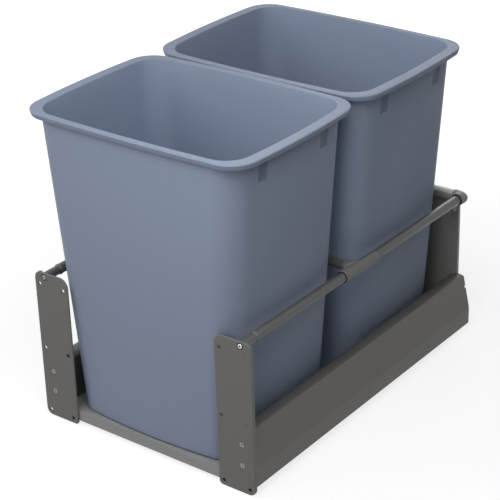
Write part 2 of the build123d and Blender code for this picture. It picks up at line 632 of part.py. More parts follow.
def back_corner():
    """Moulded corner that joins the back rail to a gallery rail."""
    radius = CORNER_DIAMETER / 2
    across = rod_across(CORNER_DIAMETER, BACK_RAIL_DEPTH, RAIL_Z, CORNER_SEAM_X, RAIL_X)
    along = rod_back(CORNER_DIAMETER, RAIL_X, RAIL_Z, CORNER_MOUTH_DEPTH, BACK_RAIL_DEPTH)
    ball = Pos(RAIL_X, y_at(BACK_RAIL_DEPTH), RAIL_Z) * Sphere(radius)
    mouth = along.edges().filter_by(GeomType.CIRCLE).sort_by(Axis.Y)[0]
    along = chamfer(mouth, RAIL_WALL / 2)
    spigot_diameter = BACK_RAIL_DIAMETER - 2 * BACK_RAIL_WALL - 2 * FIT_GAP
    spigot_start = CORNER_SEAM_X - CORNER_SPIGOT
    spigot = rod_across(spigot_diameter, BACK_RAIL_DEPTH, RAIL_Z, spigot_start, CORNER_SEAM_X)
    groove = block(
        spigot_start - CUT_OVERRUN,
        CORNER_SEAM_X - SEAT_GAP,
        BACK_PANEL_DEPTH - FIT_GAP,
        BACK_PANEL_DEPTH + SHEET + FIT_GAP,
        RAIL_Z - BACK_RAIL_DIAMETER,
        RAIL_Z,
    )
    socket = RAIL_DIAMETER + 2 * FIT_GAP
    bore = rod_back(socket, RAIL_X, RAIL_Z, CORNER_MOUTH_DEPTH - CUT_OVERRUN, RAIL_BACK_DEPTH + SEAT_GAP)
    plug = block(
        CORNER_SEAM_X + SEAT_GAP,
        SIDE_INNER_X + UPRIGHT_WIDTH - SHEET - FIT_GAP,
        SIDE_BACK_DEPTH + SEAT_GAP + SHEET + FIT_GAP,
        FRAME_DEPTH - FIT_GAP,
        upright_top_z() - CORNER_PLUG,
        RAIL_Z,
    )
    return across + along + ball + spigot + plug - groove - bore


def upright_low_z():
    """Foot of the back uprights, clear above the runners."""
    return SIDE_Z + UPRIGHT_FOOT_RISE


def upright_top_z():
    """Top of the back uprights, just under the corner fittings."""
    return RAIL_Z - CORNER_DIAMETER / 2 - SEAT_GAP


def panel_screw_heights():
    """Heights of the screws between the back panel and an upright."""
    low = SIDE_Z + SIDE_HEIGHT + PANEL_SCREW_END_SPACE
    return spread(PANEL_SCREW_COUNT, low, upright_top_z() - PANEL_SCREW_END_SPACE)


def back_panel():
    """Sheet steel back with both side edges folded backwards."""
    half = SIDE_INNER_X - SEAT_GAP
    fold_back = BACK_PANEL_DEPTH + BACK_PANEL_FLANGE
    top_z = RAIL_Z - BACK_RAIL_DIAMETER / 2 + BACK_RAIL_WALL + SHEET
    side_top = upright_top_z()
    web = block(-half, half, BACK_PANEL_DEPTH, BACK_PANEL_DEPTH + SHEET, BASE_LOW_Z, top_z)
    body = web
    for side in (-1, 1):
        outer_x = side * half
        inner_x = side * (half - SHEET)
        start, end = sorted((outer_x, inner_x))
        body += block(start, end, BACK_PANEL_DEPTH, fold_back, BASE_LOW_Z, side_top)
        for z in panel_screw_heights():
            hole_start, hole_end = sorted((outer_x + side * CUT_OVERRUN, inner_x - side * CUT_OVERRUN))
            body -= rod_across(PANEL_SCREW_SHANK, panel_screw_depth(), z, hole_start, hole_end)
    return body


def panel_screw_depth():
    """Depth of the screws between the back panel and an upright."""
    return (SIDE_BACK_DEPTH + SEAT_GAP + SHEET + BACK_PANEL_DEPTH + BACK_PANEL_FLANGE) / 2


def upright():
    """Folded channel behind the end of a drawer side, which holds the back panel and the corner."""
    inner_x = SIDE_INNER_X
    outer_x = inner_x + UPRIGHT_WIDTH
    face_depth = SIDE_BACK_DEPTH + SEAT_GAP
    face_back = face_depth + SHEET
    low_z = upright_low_z()
    high_z = upright_top_z()
    web = block(inner_x, outer_x, face_depth, face_back, low_z, high_z)
    inner_back = BACK_PANEL_DEPTH + BACK_PANEL_FLANGE
    inner_flange = block(inner_x, inner_x + SHEET, face_depth, inner_back, low_z, high_z)
    outer_flange = block(outer_x - SHEET, outer_x, face_depth, face_back + UPRIGHT_FLANGE, low_z, high_z)
    body = web + inner_flange + outer_flange
    tab_front = SIDE_BACK_DEPTH - UPRIGHT_TAB_DEPTH
    tab = block(WALL_OUT_X, WALL_OUT_X + SHEET, tab_front, face_back, low_z, low_z + UPRIGHT_TAB_HEIGHT)
    body += tab
    for depth, z in tab_rivet_places():
        body -= rod_across(RIVET, depth, z, WALL_OUT_X - CUT_OVERRUN, WALL_OUT_X + SHEET + CUT_OVERRUN)
    hole_end = inner_x + SHEET + FIT_GAP
    for z in panel_screw_heights():
        body -= rod_across(PANEL_SCREW_SHANK, panel_screw_depth(), z, inner_x - CUT_OVERRUN, hole_end)
    return body


def panel_screws():
    """Screws through the back panel's folded edge into an upright."""
    screws = []
    inner_x = SIDE_INNER_X - SEAT_GAP - SHEET
    for z in panel_screw_heights():
        head = rod_across(PANEL_SCREW_HEAD, panel_screw_depth(), z, inner_x - PANEL_SCREW_HEAD_THICK, inner_x)
        shank = rod_across(PANEL_SCREW_SHANK, panel_screw_depth(), z, inner_x, SIDE_INNER_X + SHEET)
        screws.append(head + shank)
    return screws


def bin_outline(half_x, half_y, side_bow, front_bow, corner, z):
    """Rounded oblong with four gently bowed sides, at a height above the bin's foot."""
    front = ThreePointArc((-half_x, -half_y), (0, -half_y - front_bow), (half_x, -half_y))
    right = ThreePointArc((half_x, -half_y), (half_x + side_bow, 0), (half_x, half_y))
    back = ThreePointArc((half_x, half_y), (0, half_y + front_bow), (-half_x, half_y))
    left = ThreePointArc((-half_x, half_y), (-half_x - side_bow, 0), (-half_x, -half_y))
    outline = make_face(front + right + back + left)
    outline = fillet(outline.vertices(), corner)
    return Pos(0, 0, z) * outline


def bin_shell_outline(inset, z):
    """Section of the bin's tapered body at a height, drawn in by an inset."""
    share = z / BIN_HEIGHT
    top_x = BIN_RIM_HALF_X - BIN_SIDE_FLANGE
    top_y = BIN_RIM_HALF_Y - BIN_FRONT_FLANGE
    half_x = BIN_FOOT_HALF_X + (top_x - BIN_FOOT_HALF_X) * share
    half_y = BIN_FOOT_HALF_Y + (top_y - BIN_FOOT_HALF_Y) * share
    side_bow = BIN_FOOT_SIDE_BOW + (BIN_SIDE_BOW - BIN_FOOT_SIDE_BOW) * share
    front_bow = BIN_FOOT_FRONT_BOW + (BIN_FRONT_BOW - BIN_FOOT_FRONT_BOW) * share
    corner = BIN_FOOT_CORNER + (BIN_MOUTH_CORNER - BIN_FOOT_CORNER) * share
    return bin_outline(half_x - inset, half_y - inset, side_bow, front_bow, corner - inset, z)


def bin_body():
    """Tapered bin, open at the top, on its own foot, with a rolled rim and four shallow pockets."""
    outside = loft([bin_shell_outline(0, 0), bin_shell_outline(0, BIN_HEIGHT)], ruled=True)
    foot_edges = outside.edges().group_by(Axis.Z)[0]
    outside = fillet(foot_edges, BIN_FOOT_ROUND)
    skirt_z = BIN_HEIGHT - BIN_RIM_SKIRT
    rim = extrude(bin_rim_outline(0, skirt_z), amount=BIN_RIM_SKIRT)
    rim = fillet(rim.edges().group_by(Axis.Z)[-1], BIN_RIM_ROUND)
    hollow = bin_rim_outline(BIN_SKIRT_WALL, skirt_z - CUT_OVERRUN)
    hollow = extrude(hollow, amount=BIN_RIM_SKIRT + CUT_OVERRUN - BIN_SKIRT_WALL)
    body = outside + (rim - hollow)
    mouth = bin_shell_outline(BIN_WALL, BIN_HEIGHT + CUT_OVERRUN)
    inside = loft([bin_shell_outline(BIN_WALL, BIN_FLOOR), mouth], ruled=True)
    inside = fillet(inside.edges().group_by(Axis.Z)[0], BIN_FLOOR_ROUND)
    body -= inside
    return body - bin_pockets()


def bin_rim_outline(inset, z):
    """Outline of the bin's rim, drawn in by an inset, at a height."""
    half_x = BIN_RIM_HALF_X - inset
    half_y = BIN_RIM_HALF_Y - inset
    return bin_outline(half_x, half_y, BIN_SIDE_BOW, BIN_FRONT_BOW, BIN_RIM_CORNER - inset, z)


def bin_pockets():
    """Shallow stacking pockets in both side walls, under the rim."""
    top_z = BIN_HEIGHT - POCKET_TOP_SPACE
    low_z = top_z - POCKET_HEIGHT
    top_x = BIN_RIM_HALF_X - BIN_SIDE_FLANGE + BIN_SIDE_BOW
    foot_x = BIN_FOOT_HALF_X + BIN_FOOT_SIDE_BOW
    wall_x = foot_x + (top_x - foot_x) * (top_z + low_z) / 2 / BIN_HEIGHT
    bow_here = BIN_SIDE_BOW * (POCKET_SPACING / 2 / BIN_RIM_HALF_Y) ** 2
    floor_x = wall_x - bow_here - POCKET_DEPTH
    middle_z = (top_z + low_z) / 2
    pockets = []
    shape = RectangleRounded(POCKET_WIDTH, POCKET_HEIGHT, POCKET_ROUND)
    for side in (-1, 1):
        for y in (-POCKET_SPACING / 2, POCKET_SPACING / 2):
            plane = Plane(origin=(side * floor_x, y, middle_z), x_dir=(0, 1, 0), z_dir=(side, 0, 0))
            pockets.append(extrude(plane * shape, amount=BIN_SIDE_FLANGE - BIN_SKIRT_WALL))
    return pockets


def bin_at(depth):
    """A bin standing on the base board, with its middle at a depth."""
    return Pos(0, y_at(depth), BIN_LOW_Z) * bin_body()


def channel(web_x, lip_x, sheet, low_z, high_z, lip, outward):
    """Channel section along a runner. Outward says whether its web is its outer side."""
    if outward:
        web = Pos(web_x + sheet / 2, (low_z + high_z) / 2) * Rectangle(sheet, high_z - low_z)
        flange_start = lip_x
        flange_end = web_x + sheet
    else:
        web = Pos(web_x - sheet / 2, (low_z + high_z) / 2) * Rectangle(sheet, high_z - low_z)
        flange_start = web_x - sheet
        flange_end = lip_x
    middle = (flange_start + flange_end) / 2
    flange = Rectangle(flange_end - flange_start, sheet)
    section = web + Pos(middle, low_z + sheet / 2) * flange + Pos(middle, high_z - sheet / 2) * flange
    if lip:
        lip_shape = Rectangle(sheet, sheet + lip)
        section += Pos(lip_x + sheet / 2, low_z + (sheet + lip) / 2) * lip_shape
        section += Pos(lip_x + sheet / 2, high_z - (sheet + lip) / 2) * lip_shape
    return section


def cabinet_channel():
    """Fixed outer channel of a runner."""
    lip_x = CABINET_INNER_X - CABINET_SHEET
    section = channel(CABINET_WEB_X, lip_x, CABINET_SHEET, CABINET_LOW_Z, CABINET_TOP_Z, LIP_HEIGHT, True)
    body = run_back(section, RUNNER_FRONT_DEPTH, RUNNER_BACK_DEPTH)
    hole_start = CABINET_WEB_X - CUT_OVERRUN
    for depth, z in foot_screw_places():
        body -= rod_across(FOOT_SCREW_SHANK, depth, z, hole_start, CABINET_OUT_X + CUT_OVERRUN)
    return body


def middle_channel():
    """Travelling middle channel of a runner."""
    section = channel(MIDDLE_WEB_X, MIDDLE_INNER_X, CHANNEL_SHEET, MIDDLE_LOW_Z, MIDDLE_TOP_Z, 0, True)
    return run_back(section, RUNNER_FRONT_DEPTH, RUNNER_BACK_DEPTH)


def drawer_channel():
    """Inner channel of a runner, riveted to the drawer side."""
    section = channel(INNER_WEB_X, INNER_FLANGE_X, CHANNEL_SHEET, INNER_LOW_Z, INNER_TOP_Z, 0, False)
    body = run_back(section, RUNNER_FRONT_DEPTH, RUNNER_BACK_DEPTH)
    for depth, z in channel_rivet_places():
        body -= rod_across(RIVET, depth, z, WALL_OUT_X - CUT_OVERRUN, INNER_WEB_X + CUT_OVERRUN)
    return body


def roller_depths():
    """Depths of the rollers in one row of a cage."""
    middle = CAGE_FRONT_DEPTH + CAGE_LENGTH / 2
    return spread(ROLLER_COUNT, middle - ROLLER_ROW_LENGTH / 2, middle + ROLLER_ROW_LENGTH / 2)


def cage(start_x, web_x, low_z, high_z, roller_length):
    """Plastic cage: an upright web with an arm over and under, pocketed for the rollers."""
    back_depth = CAGE_FRONT_DEPTH + CAGE_LENGTH
    web_end = web_x + CAGE_WEB
    low_mid = low_z - ROLLER_SPACE / 2
    high_mid = high_z + ROLLER_SPACE / 2
    half_arm = CAGE_ARM / 2
    body = block(web_x, web_end, CAGE_FRONT_DEPTH, back_depth, low_mid - half_arm, high_mid + half_arm)
    for middle in (low_mid, high_mid):
        body += block(start_x, web_end, CAGE_FRONT_DEPTH, back_depth, middle - half_arm, middle + half_arm)
        for depth in roller_depths():
            half_pocket = ROLLER_DIAMETER / 2 + RUN_GAP
            body -= block(
                start_x - CUT_OVERRUN,
                start_x + roller_length + RUN_GAP,
                depth - half_pocket,
                depth + half_pocket,
                middle - CAGE_ARM,
                middle + CAGE_ARM,
            )
    return body


def rollers(start_x, low_z, high_z, roller_length):
    """Two rows of rollers between two channels."""
    heights = (low_z - ROLLER_SPACE / 2, high_z + ROLLER_SPACE / 2)
    return [
        rod_across(ROLLER_DIAMETER, depth, z, start_x, start_x + roller_length)
        for z in heights
        for depth in roller_depths()
    ]


def outer_cage():
    """Cage between the cabinet channel and the middle channel."""
    web_x = MIDDLE_OUT_X + SIDE_GAP
    start_x = web_x - SIDE_GAP - OUTER_ROLLER_LENGTH
    return cage(start_x, web_x, MIDDLE_LOW_Z, MIDDLE_TOP_Z, OUTER_ROLLER_LENGTH)


def outer_rollers():
    """Rollers of the outer cage."""
    start_x = MIDDLE_OUT_X - OUTER_ROLLER_LENGTH
    return rollers(start_x, MIDDLE_LOW_Z, MIDDLE_TOP_Z, OUTER_ROLLER_LENGTH)


def inner_cage():
    """Cage between the middle channel and the drawer channel."""
    web_x = INNER_FLANGE_X + SIDE_GAP
    start_x = INNER_WEB_X + SIDE_GAP + SIDE_GAP
    return cage(start_x, web_x, INNER_LOW_Z, INNER_TOP_Z, INNER_ROLLER_LENGTH)


def inner_rollers():
    """Rollers of the inner cage."""
    start_x = INNER_WEB_X + SIDE_GAP + SIDE_GAP
    return rollers(start_x, INNER_LOW_Z, INNER_TOP_Z, INNER_ROLLER_LENGTH)


def foot_centres():
    """Depths of the middles of the front and back feet."""
    return [FOOT_FRONT_DEPTH + FOOT_LENGTH / 2, FOOT_BACK_DEPTH - FOOT_LENGTH / 2]


def foot_screw_places():
    """Depth and height of each screw between the feet and the cabinet channel."""
    half = FOOT_SCREW_SPACING / 2
    return [(centre + step, RUNNER_MID_Z) for centre in foot_centres() for step in (-half, half)]


def floor_hole_x():
    """Distance of the floor screw holes from the middle of the frame."""
    return CABINET_OUT_X + FOOT_SHEET - FOOT_REACH + FLOOR_HOLE_INSET


def foot(centre):
    """Angle foot: a wall up the outside of the cabinet channel and a flange on the floor."""
    outer_x = CABINET_OUT_X + FOOT_SHEET
    start_x = outer_x - FOOT_REACH
    front = centre - FOOT_LENGTH / 2
    back = centre + FOOT_LENGTH / 2
    wall = block(CABINET_OUT_X, outer_x, front, back, 0, FOOT_HEIGHT)
    wall = fillet(wall.edges().filter_by(Axis.X).group_by(Axis.Z)[-1], FOOT_ROUND)
    flange = block(start_x, outer_x, front, back, 0, FOOT_SHEET)
    flange = fillet(flange.edges().filter_by(Axis.Z).group_by(Axis.X)[0], FOOT_ROUND)
    body = wall + flange
    body -= rod_up(FLOOR_HOLE, floor_hole_x(), y_at(centre), -CUT_OVERRUN, FOOT_SHEET + CUT_OVERRUN)
    hole_end = outer_x + CUT_OVERRUN
    for step in (-FOOT_SCREW_SPACING / 2, FOOT_SCREW_SPACING / 2):
        body -= rod_across(FOOT_SCREW_SHANK, centre + step, RUNNER_MID_Z, CABINET_WEB_X, hole_end)
    return body


def foot_screws():
    """Flush screws that hold the feet to the cabinet channel."""
    screws = []
    for depth, z in foot_screw_places():
        screws.append(rod_across(FOOT_SCREW_SHANK, depth, z, CABINET_WEB_X, CABINET_OUT_X + FOOT_SHEET))
    return screws


def listed(part):
    """The solids of a part, whether it is one or a group."""
    if isinstance(part, (list, tuple)):
        return [solid for piece in part for solid in listed(piece)]
    return list(part.solids())


def save(name, part):
    """Write one node's STEP file."""
    solids = listed(part)
    shape = solids[0] if len(solids) == 1 else Compound(children=solids)
    shape.label = name
    export_step(shape, os.path.join("parts", name + ".step"))


def save_pair(name, part):
    """Write the right-hand part and its mirror image on the left."""
    save(name + "_right", part)
    save(name + "_left", [mirror(solid, about=Plane.YZ) for solid in listed(part)])


def main():
    os.makedirs("parts", exist_ok=True)
    save_pair("door_bracket", bracket())
    save_pair("bracket_screws", fixing_screws())
    save_pair("rail_screw", rail_screw())
    save_pair("drawer_side", drawer_side())
    save_pair("fixing_block", fixing_block())
    save("base_board", base_board())
    save("base_screws", base_screws())
    save_pair("gallery_rail", rail())
    save_pair("rail_front_fitting", rail_front_fitting())
    save_pair("cross_rail_connector", connector())
    save("cross_rail", cross_rail())
    save("back_rail", back_rail())
    save_pair("back_corner", back_corner())
    save_pair("back_upright", upright())
    save("back_panel", back_panel())
    save_pair("back_panel_screws", panel_screws())
    save("front_bin", bin_at(FRONT_BIN_DEPTH))
    save("rear_bin", bin_at(REAR_BIN_DEPTH))
    save_pair("cabinet_channel", cabinet_channel())
    save_pair("middle_channel", middle_channel())
    save_pair("drawer_channel", drawer_channel())
    save_pair("channel_rivets", channel_rivets())
    save_pair("side_rivets", side_rivets())
    save_pair("outer_cage", outer_cage())
    save_pair("outer_rollers", outer_rollers())
    save_pair("inner_cage", inner_cage())
    save_pair("inner_rollers", inner_rollers())
    front_foot, back_foot = [foot(centre) for centre in foot_centres()]
    save_pair("front_foot", front_foot)
    save_pair("back_foot", back_foot)
    save_pair("foot_screws", foot_screws())


main()
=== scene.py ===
# %% [markdown]
# A pull-out bin frame, dressed for its picture.
#
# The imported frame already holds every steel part, rail, screw and runner at its real size, so
# this lesson never moves it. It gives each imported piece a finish, and it makes the pieces whose
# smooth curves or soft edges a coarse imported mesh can't show: the two moulded bins, the round
# rails, their fittings and the rounded corners at the back.
#
# Everything is in metres. Up is +Z, the door side is -Y, and the user's right hand is +X.

import json
import math

import bmesh
import bpy
import numpy as np
from mathutils import Matrix, Vector


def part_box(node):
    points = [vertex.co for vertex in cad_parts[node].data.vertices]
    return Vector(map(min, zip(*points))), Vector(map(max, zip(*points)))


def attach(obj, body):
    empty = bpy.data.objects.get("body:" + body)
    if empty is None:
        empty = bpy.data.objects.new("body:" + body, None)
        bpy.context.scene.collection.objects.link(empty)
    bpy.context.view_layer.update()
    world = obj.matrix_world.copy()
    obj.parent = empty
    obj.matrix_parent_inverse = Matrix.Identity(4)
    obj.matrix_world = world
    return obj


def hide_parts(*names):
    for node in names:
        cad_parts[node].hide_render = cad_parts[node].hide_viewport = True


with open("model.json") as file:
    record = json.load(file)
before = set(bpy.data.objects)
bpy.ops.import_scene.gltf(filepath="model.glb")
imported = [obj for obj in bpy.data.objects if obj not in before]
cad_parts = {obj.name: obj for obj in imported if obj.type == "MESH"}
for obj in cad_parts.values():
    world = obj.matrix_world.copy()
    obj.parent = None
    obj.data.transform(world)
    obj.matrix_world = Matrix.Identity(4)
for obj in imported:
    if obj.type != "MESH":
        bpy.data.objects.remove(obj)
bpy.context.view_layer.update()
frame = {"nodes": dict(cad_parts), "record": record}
RECORD = frame["record"]
BODY_OF = {node: body for body, nodes in RECORD["behaviour"]["bodies"].items() for node in nodes}
MM = 0.001

# %% [markdown]
# A surface here is a grid of points: one direction runs along a profile and the other runs round
# it. Numpy works out the whole grid at once, and the faces are the squares between neighbours.
# Where a grid closes on itself, the last column joins the first one.

# %% Grids into meshes
SHARP_DEGREES = 35.0
WELD_DISTANCE = 0.002 * MM


def grid_faces(rows, columns, close_rows=False, close_columns=False):
    """Squares between neighbours of a rows by columns grid, as rows of four point numbers."""
    row = np.arange(rows if close_rows else rows - 1)
    column = np.arange(columns if close_columns else columns - 1)
    row, column = np.meshgrid(row, column, indexing="ij")
    next_row = (row + 1) % rows
    next_column = (column + 1) % columns
    corners = [
        row * columns + column,
        row * columns + next_column,
        next_row * columns + next_column,
        next_row * columns + column,
    ]
    return np.stack([corner.ravel() for corner in corners], axis=1)


def capped_faces(rows, columns):
    """Faces of a grid that closes round itself, with a fan of triangles over either end.

    The fans meet in two poles, the points that follow the grid's own.
    """
    column = np.arange(columns)
    following = (column + 1) % columns
    first_pole, last_pole = rows * columns, rows * columns + 1
    last_row = (rows - 1) * columns
    faces = grid_faces(rows, columns, close_columns=True).tolist()
    faces += np.stack([np.full(columns, first_pole), following, column], axis=1).tolist()
    last_fan = [np.full(columns, last_pole), last_row + column, last_row + following]
    return faces + np.stack(last_fan, axis=1).tolist()


def linked_object(name, data):
    """Object made from a mesh, lamp or camera, placed in the scene."""
    made = bpy.data.objects.new(name, data)
    bpy.context.scene.collection.objects.link(made)
    return made


def mesh_from(name, points, faces, sharp_degrees=SHARP_DEGREES, painted_shade=None):
    """Mesh piece from points and faces, smooth up to an angle, with a painted shade value per point."""
    mesh = bpy.data.meshes.new(name)
    points = np.asarray(points, float).reshape(-1, 3).tolist()
    mesh.from_pydata(points, [], [list(face) for face in faces])
    if painted_shade is not None:
        value = mesh.attributes.new("painted_shade", "FLOAT", "POINT")
        value.data.foreach_set("value", np.asarray(painted_shade, np.float32))
    finish_mesh(mesh, sharp_degrees)
    return linked_object(name, mesh)


def finish_mesh(mesh, sharp_degrees):
    """Joins doubled points, turns the faces outwards and shades the mesh."""
    shell = bmesh.new()
    shell.from_mesh(mesh)
    bmesh.ops.remove_doubles(shell, verts=shell.verts, dist=WELD_DISTANCE)
    bmesh.ops.recalc_face_normals(shell, faces=shell.faces)
    shell.to_mesh(mesh)
    shell.free()
    shade_smooth(mesh, sharp_degrees)
    mesh.update()


def shade_smooth(mesh, sharp_degrees):
    """Smooth shading, broken where two faces part by more than the sharp angle."""
    mesh.polygons.foreach_set("use_smooth", np.ones(len(mesh.polygons), bool))
    mesh.set_sharp_from_angle(angle=math.radians(sharp_degrees))


def stand_in(piece, node, material):
    """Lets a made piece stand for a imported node: same body, the given finish, and the node hides."""
    piece.data.materials.clear()
    piece.data.materials.append(material)
    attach(piece, BODY_OF[node])
    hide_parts(node)


# %% [markdown]
# A turned or drawn part, such as a rail or a fitting, is a profile spun about an axis. The profile
# lists how far along the axis each ring lies and how wide it is. It runs up the outside, over the
# end and back down the bore, and closes on itself, so a tube has a real wall.

# %% Turned parts
AROUND = 64
EDGE_POINTS = 5


def ring_directions(axis):
    """Two directions square to an axis named x, y or z."""
    pairs = {
        "x": ((0, 1, 0), (0, 0, 1)),
        "y": ((0, 0, 1), (1, 0, 0)),
        "z": ((1, 0, 0), (0, 1, 0)),
    }
    first, second = pairs[axis]
    return np.array(first, float), np.array(second, float)


def turned(name, axis, centre, profile, around=AROUND):
    """Profile of (along, radius) pairs spun about an axis and closed on itself.

    Point = centre + along * axis + radius * (cos t * first + sin t * second),
    t from 0 to a full turn.
    """
    direction = np.array([float(axis == letter) for letter in "xyz"])
    first, second = ring_directions(axis)
    turn = np.linspace(0, 2 * math.pi, around, endpoint=False)
    spoke = np.cos(turn)[:, None] * first + np.sin(turn)[:, None] * second
    along, radius = np.array(profile, float).T
    points = np.array(centre, float) + along[:, None, None] * direction
    points = points + radius[:, None, None] * spoke
    faces = grid_faces(len(profile), around, close_rows=True, close_columns=True)
    return mesh_from(name, points, faces)


def rounded_corner(along, radius, size, start_degrees, end_degrees):
    """Arc of profile points about (along, radius), a small round of the given size."""
    angle = np.radians(np.linspace(start_degrees, end_degrees, EDGE_POINTS))
    return [(along + size * math.cos(a), radius + size * math.sin(a)) for a in angle]


def tube_profile(start, end, outer, bore, edge):
    """Tube from start to end along its axis, with an edge round at its outer and inner ends."""
    profile = rounded_corner(start + edge, outer - edge, edge, 180, 90)
    profile += rounded_corner(end - edge, outer - edge, edge, 90, 0)
    profile += rounded_corner(end - edge, bore + edge, edge, 0, -90)
    profile += rounded_corner(start + edge, bore + edge, edge, -90, -180)
    return profile


# %% [markdown]
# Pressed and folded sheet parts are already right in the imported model. A copy of each is welded,
# its flat areas are joined into single faces, and a fine bevel rounds every edge, by about a third
# of a millimetre on sheet and less on small parts. That is what catches the light on the real one.

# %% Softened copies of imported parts
PRESSED_EDGE = 0.35 * MM
PACKED_WELD_DISTANCE = 0.004 * MM
PACKED_SHARP_DEGREES = 32.0
FLAT_DEGREES = 0.5


def softened(node, material, edge=PRESSED_EDGE):
    """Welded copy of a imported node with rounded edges, standing in for it."""
    mesh = frame["nodes"][node].data.copy()
    mesh.name = node + "_dressed"
    shell = bmesh.new()
    shell.from_mesh(mesh)
    bmesh.ops.remove_doubles(shell, verts=shell.verts, dist=PACKED_WELD_DISTANCE)
    limit = math.radians(FLAT_DEGREES)
    bmesh.ops.dissolve_limit(shell, angle_limit=limit, verts=shell.verts, edges=shell.edges)
    shell.to_mesh(mesh)
    shell.free()
    shade_smooth(mesh, PACKED_SHARP_DEGREES)
    piece = linked_object(node + "_dressed", mesh)
    bevel = piece.modifiers.new("soft edge", "BEVEL")
    bevel.width = edge
    bevel.segments = 2
    bevel.limit_method = "ANGLE"
    bevel.angle_limit = math.radians(PACKED_SHARP_DEGREES)
    bevel.harden_normals = True
    bevel.use_clamp_overlap = True
    stand_in(piece, node, material)


# %% [markdown]
# Finishes come next. Several share the same effects, so each effect is a small group of shader
# nodes with named inputs: a fine grain with soft clouds of tone, worn edges and long scuffs. A
# material places a group and gives it its own values.

# %% Shader helpers
def add_node(tree, kind, settings=None, inputs=None):
    """New shader node with its settings and its unlinked input values."""
    made = tree.nodes.new(kind)
    for name, value in (settings or {}).items():
        setattr(made, name, value)
    for name, value in (inputs or {}).items():
        made.inputs[name].default_value = value
    return made


def wire(tree, source, output, target, socket):
    """Links an output of one shader node to an input socket of another."""
    tree.links.new(source.outputs[output], target.inputs[socket])


def new_group(name, inputs, outputs):
    """Empty shader group with named sockets. Returns its tree, input node and output node."""
    tree = bpy.data.node_groups.new(name, "ShaderNodeTree")
    kinds = {"float": "NodeSocketFloat", "vector": "NodeSocketVector"}
    for label, kind, value in inputs:
        socket = tree.interface.new_socket(label, in_out="INPUT", socket_type=kinds[kind])
        socket.default_value = value
    for label, kind in outputs:
        tree.interface.new_socket(label, in_out="OUTPUT", socket_type=kinds[kind])
    return tree, tree.nodes.new("NodeGroupInput"), tree.nodes.new("NodeGroupOutput")


def use_group(tree, group, inputs):
    """Places a shader group in a material, with its own input values."""
    return add_node(tree, "ShaderNodeGroup", {"node_tree": group}, inputs)


def srgb(red, green, blue):
    """Linear colour, with an alpha of one, for screen values from 0 to 255."""
    def linear(value):
        share = value / 255
        return share / 12.92 if share <= 0.04045 else ((share + 0.055) / 1.055) ** 2.4
    return (linear(red), linear(green), linear(blue), 1.0)


# %% [markdown]
# Grain is what keeps a moulded or powder-coated face from looking like glass: a fine random
# height, plus a coarser swell that a hand would feel as orange peel. Both are read from the
# piece's own coordinates, so they stay put when a bin is lifted or the frame slides out.

# %% Grain and tone groups
def make_grain_group():
    """Height = fine noise * Fine + coarse noise * Coarse, and Tone, a slow cloud from 0 to 1."""
    tree, given, result = new_group(
        "surface_grain",
        [
            ("Fine Scale", "float", 1500.0),
            ("Coarse Scale", "float", 260.0),
            ("Coarse Share", "float", 0.5),
            ("Cloud Scale", "float", 9.0),
        ],
        [("Height", "float"), ("Tone", "float")],
    )
    place = add_node(tree, "ShaderNodeTexCoord")
    fine = add_node(tree, "ShaderNodeTexNoise", inputs={"Detail": 2.0, "Roughness": 0.6})
    coarse = add_node(tree, "ShaderNodeTexNoise", inputs={"Detail": 1.0, "Roughness": 0.4})
    cloud = add_node(tree, "ShaderNodeTexNoise", inputs={"Detail": 3.0, "Roughness": 0.55})
    for noise, scale in ((fine, "Fine Scale"), (coarse, "Coarse Scale"), (cloud, "Cloud Scale")):
        wire(tree, place, "Object", noise, "Vector")
        wire(tree, given, scale, noise, "Scale")
    blend = add_node(tree, "ShaderNodeMix", {"data_type": "FLOAT"})
    wire(tree, given, "Coarse Share", blend, "Factor")
    wire(tree, fine, "Fac", blend, "A")
    wire(tree, coarse, "Fac", blend, "B")
    wire(tree, blend, "Result", result, "Height")
    wire(tree, cloud, "Fac", result, "Tone")
    return tree


GRAIN = make_grain_group()

# %% [markdown]
# Edges rub first. A mask of the edges comes from comparing the true surface direction with one
# that has been rounded off over a small radius: they agree on a flat face and part at an edge. A
# little noise breaks the line up, because wear is never even. On some finishes the same mask also
# paints a highlight along the edges.

# %% Edge wear and painted edge highlight group
AGREE_FLAT = 0.995
AGREE_WORN = 0.8
LEAST_WEAR = 0.25


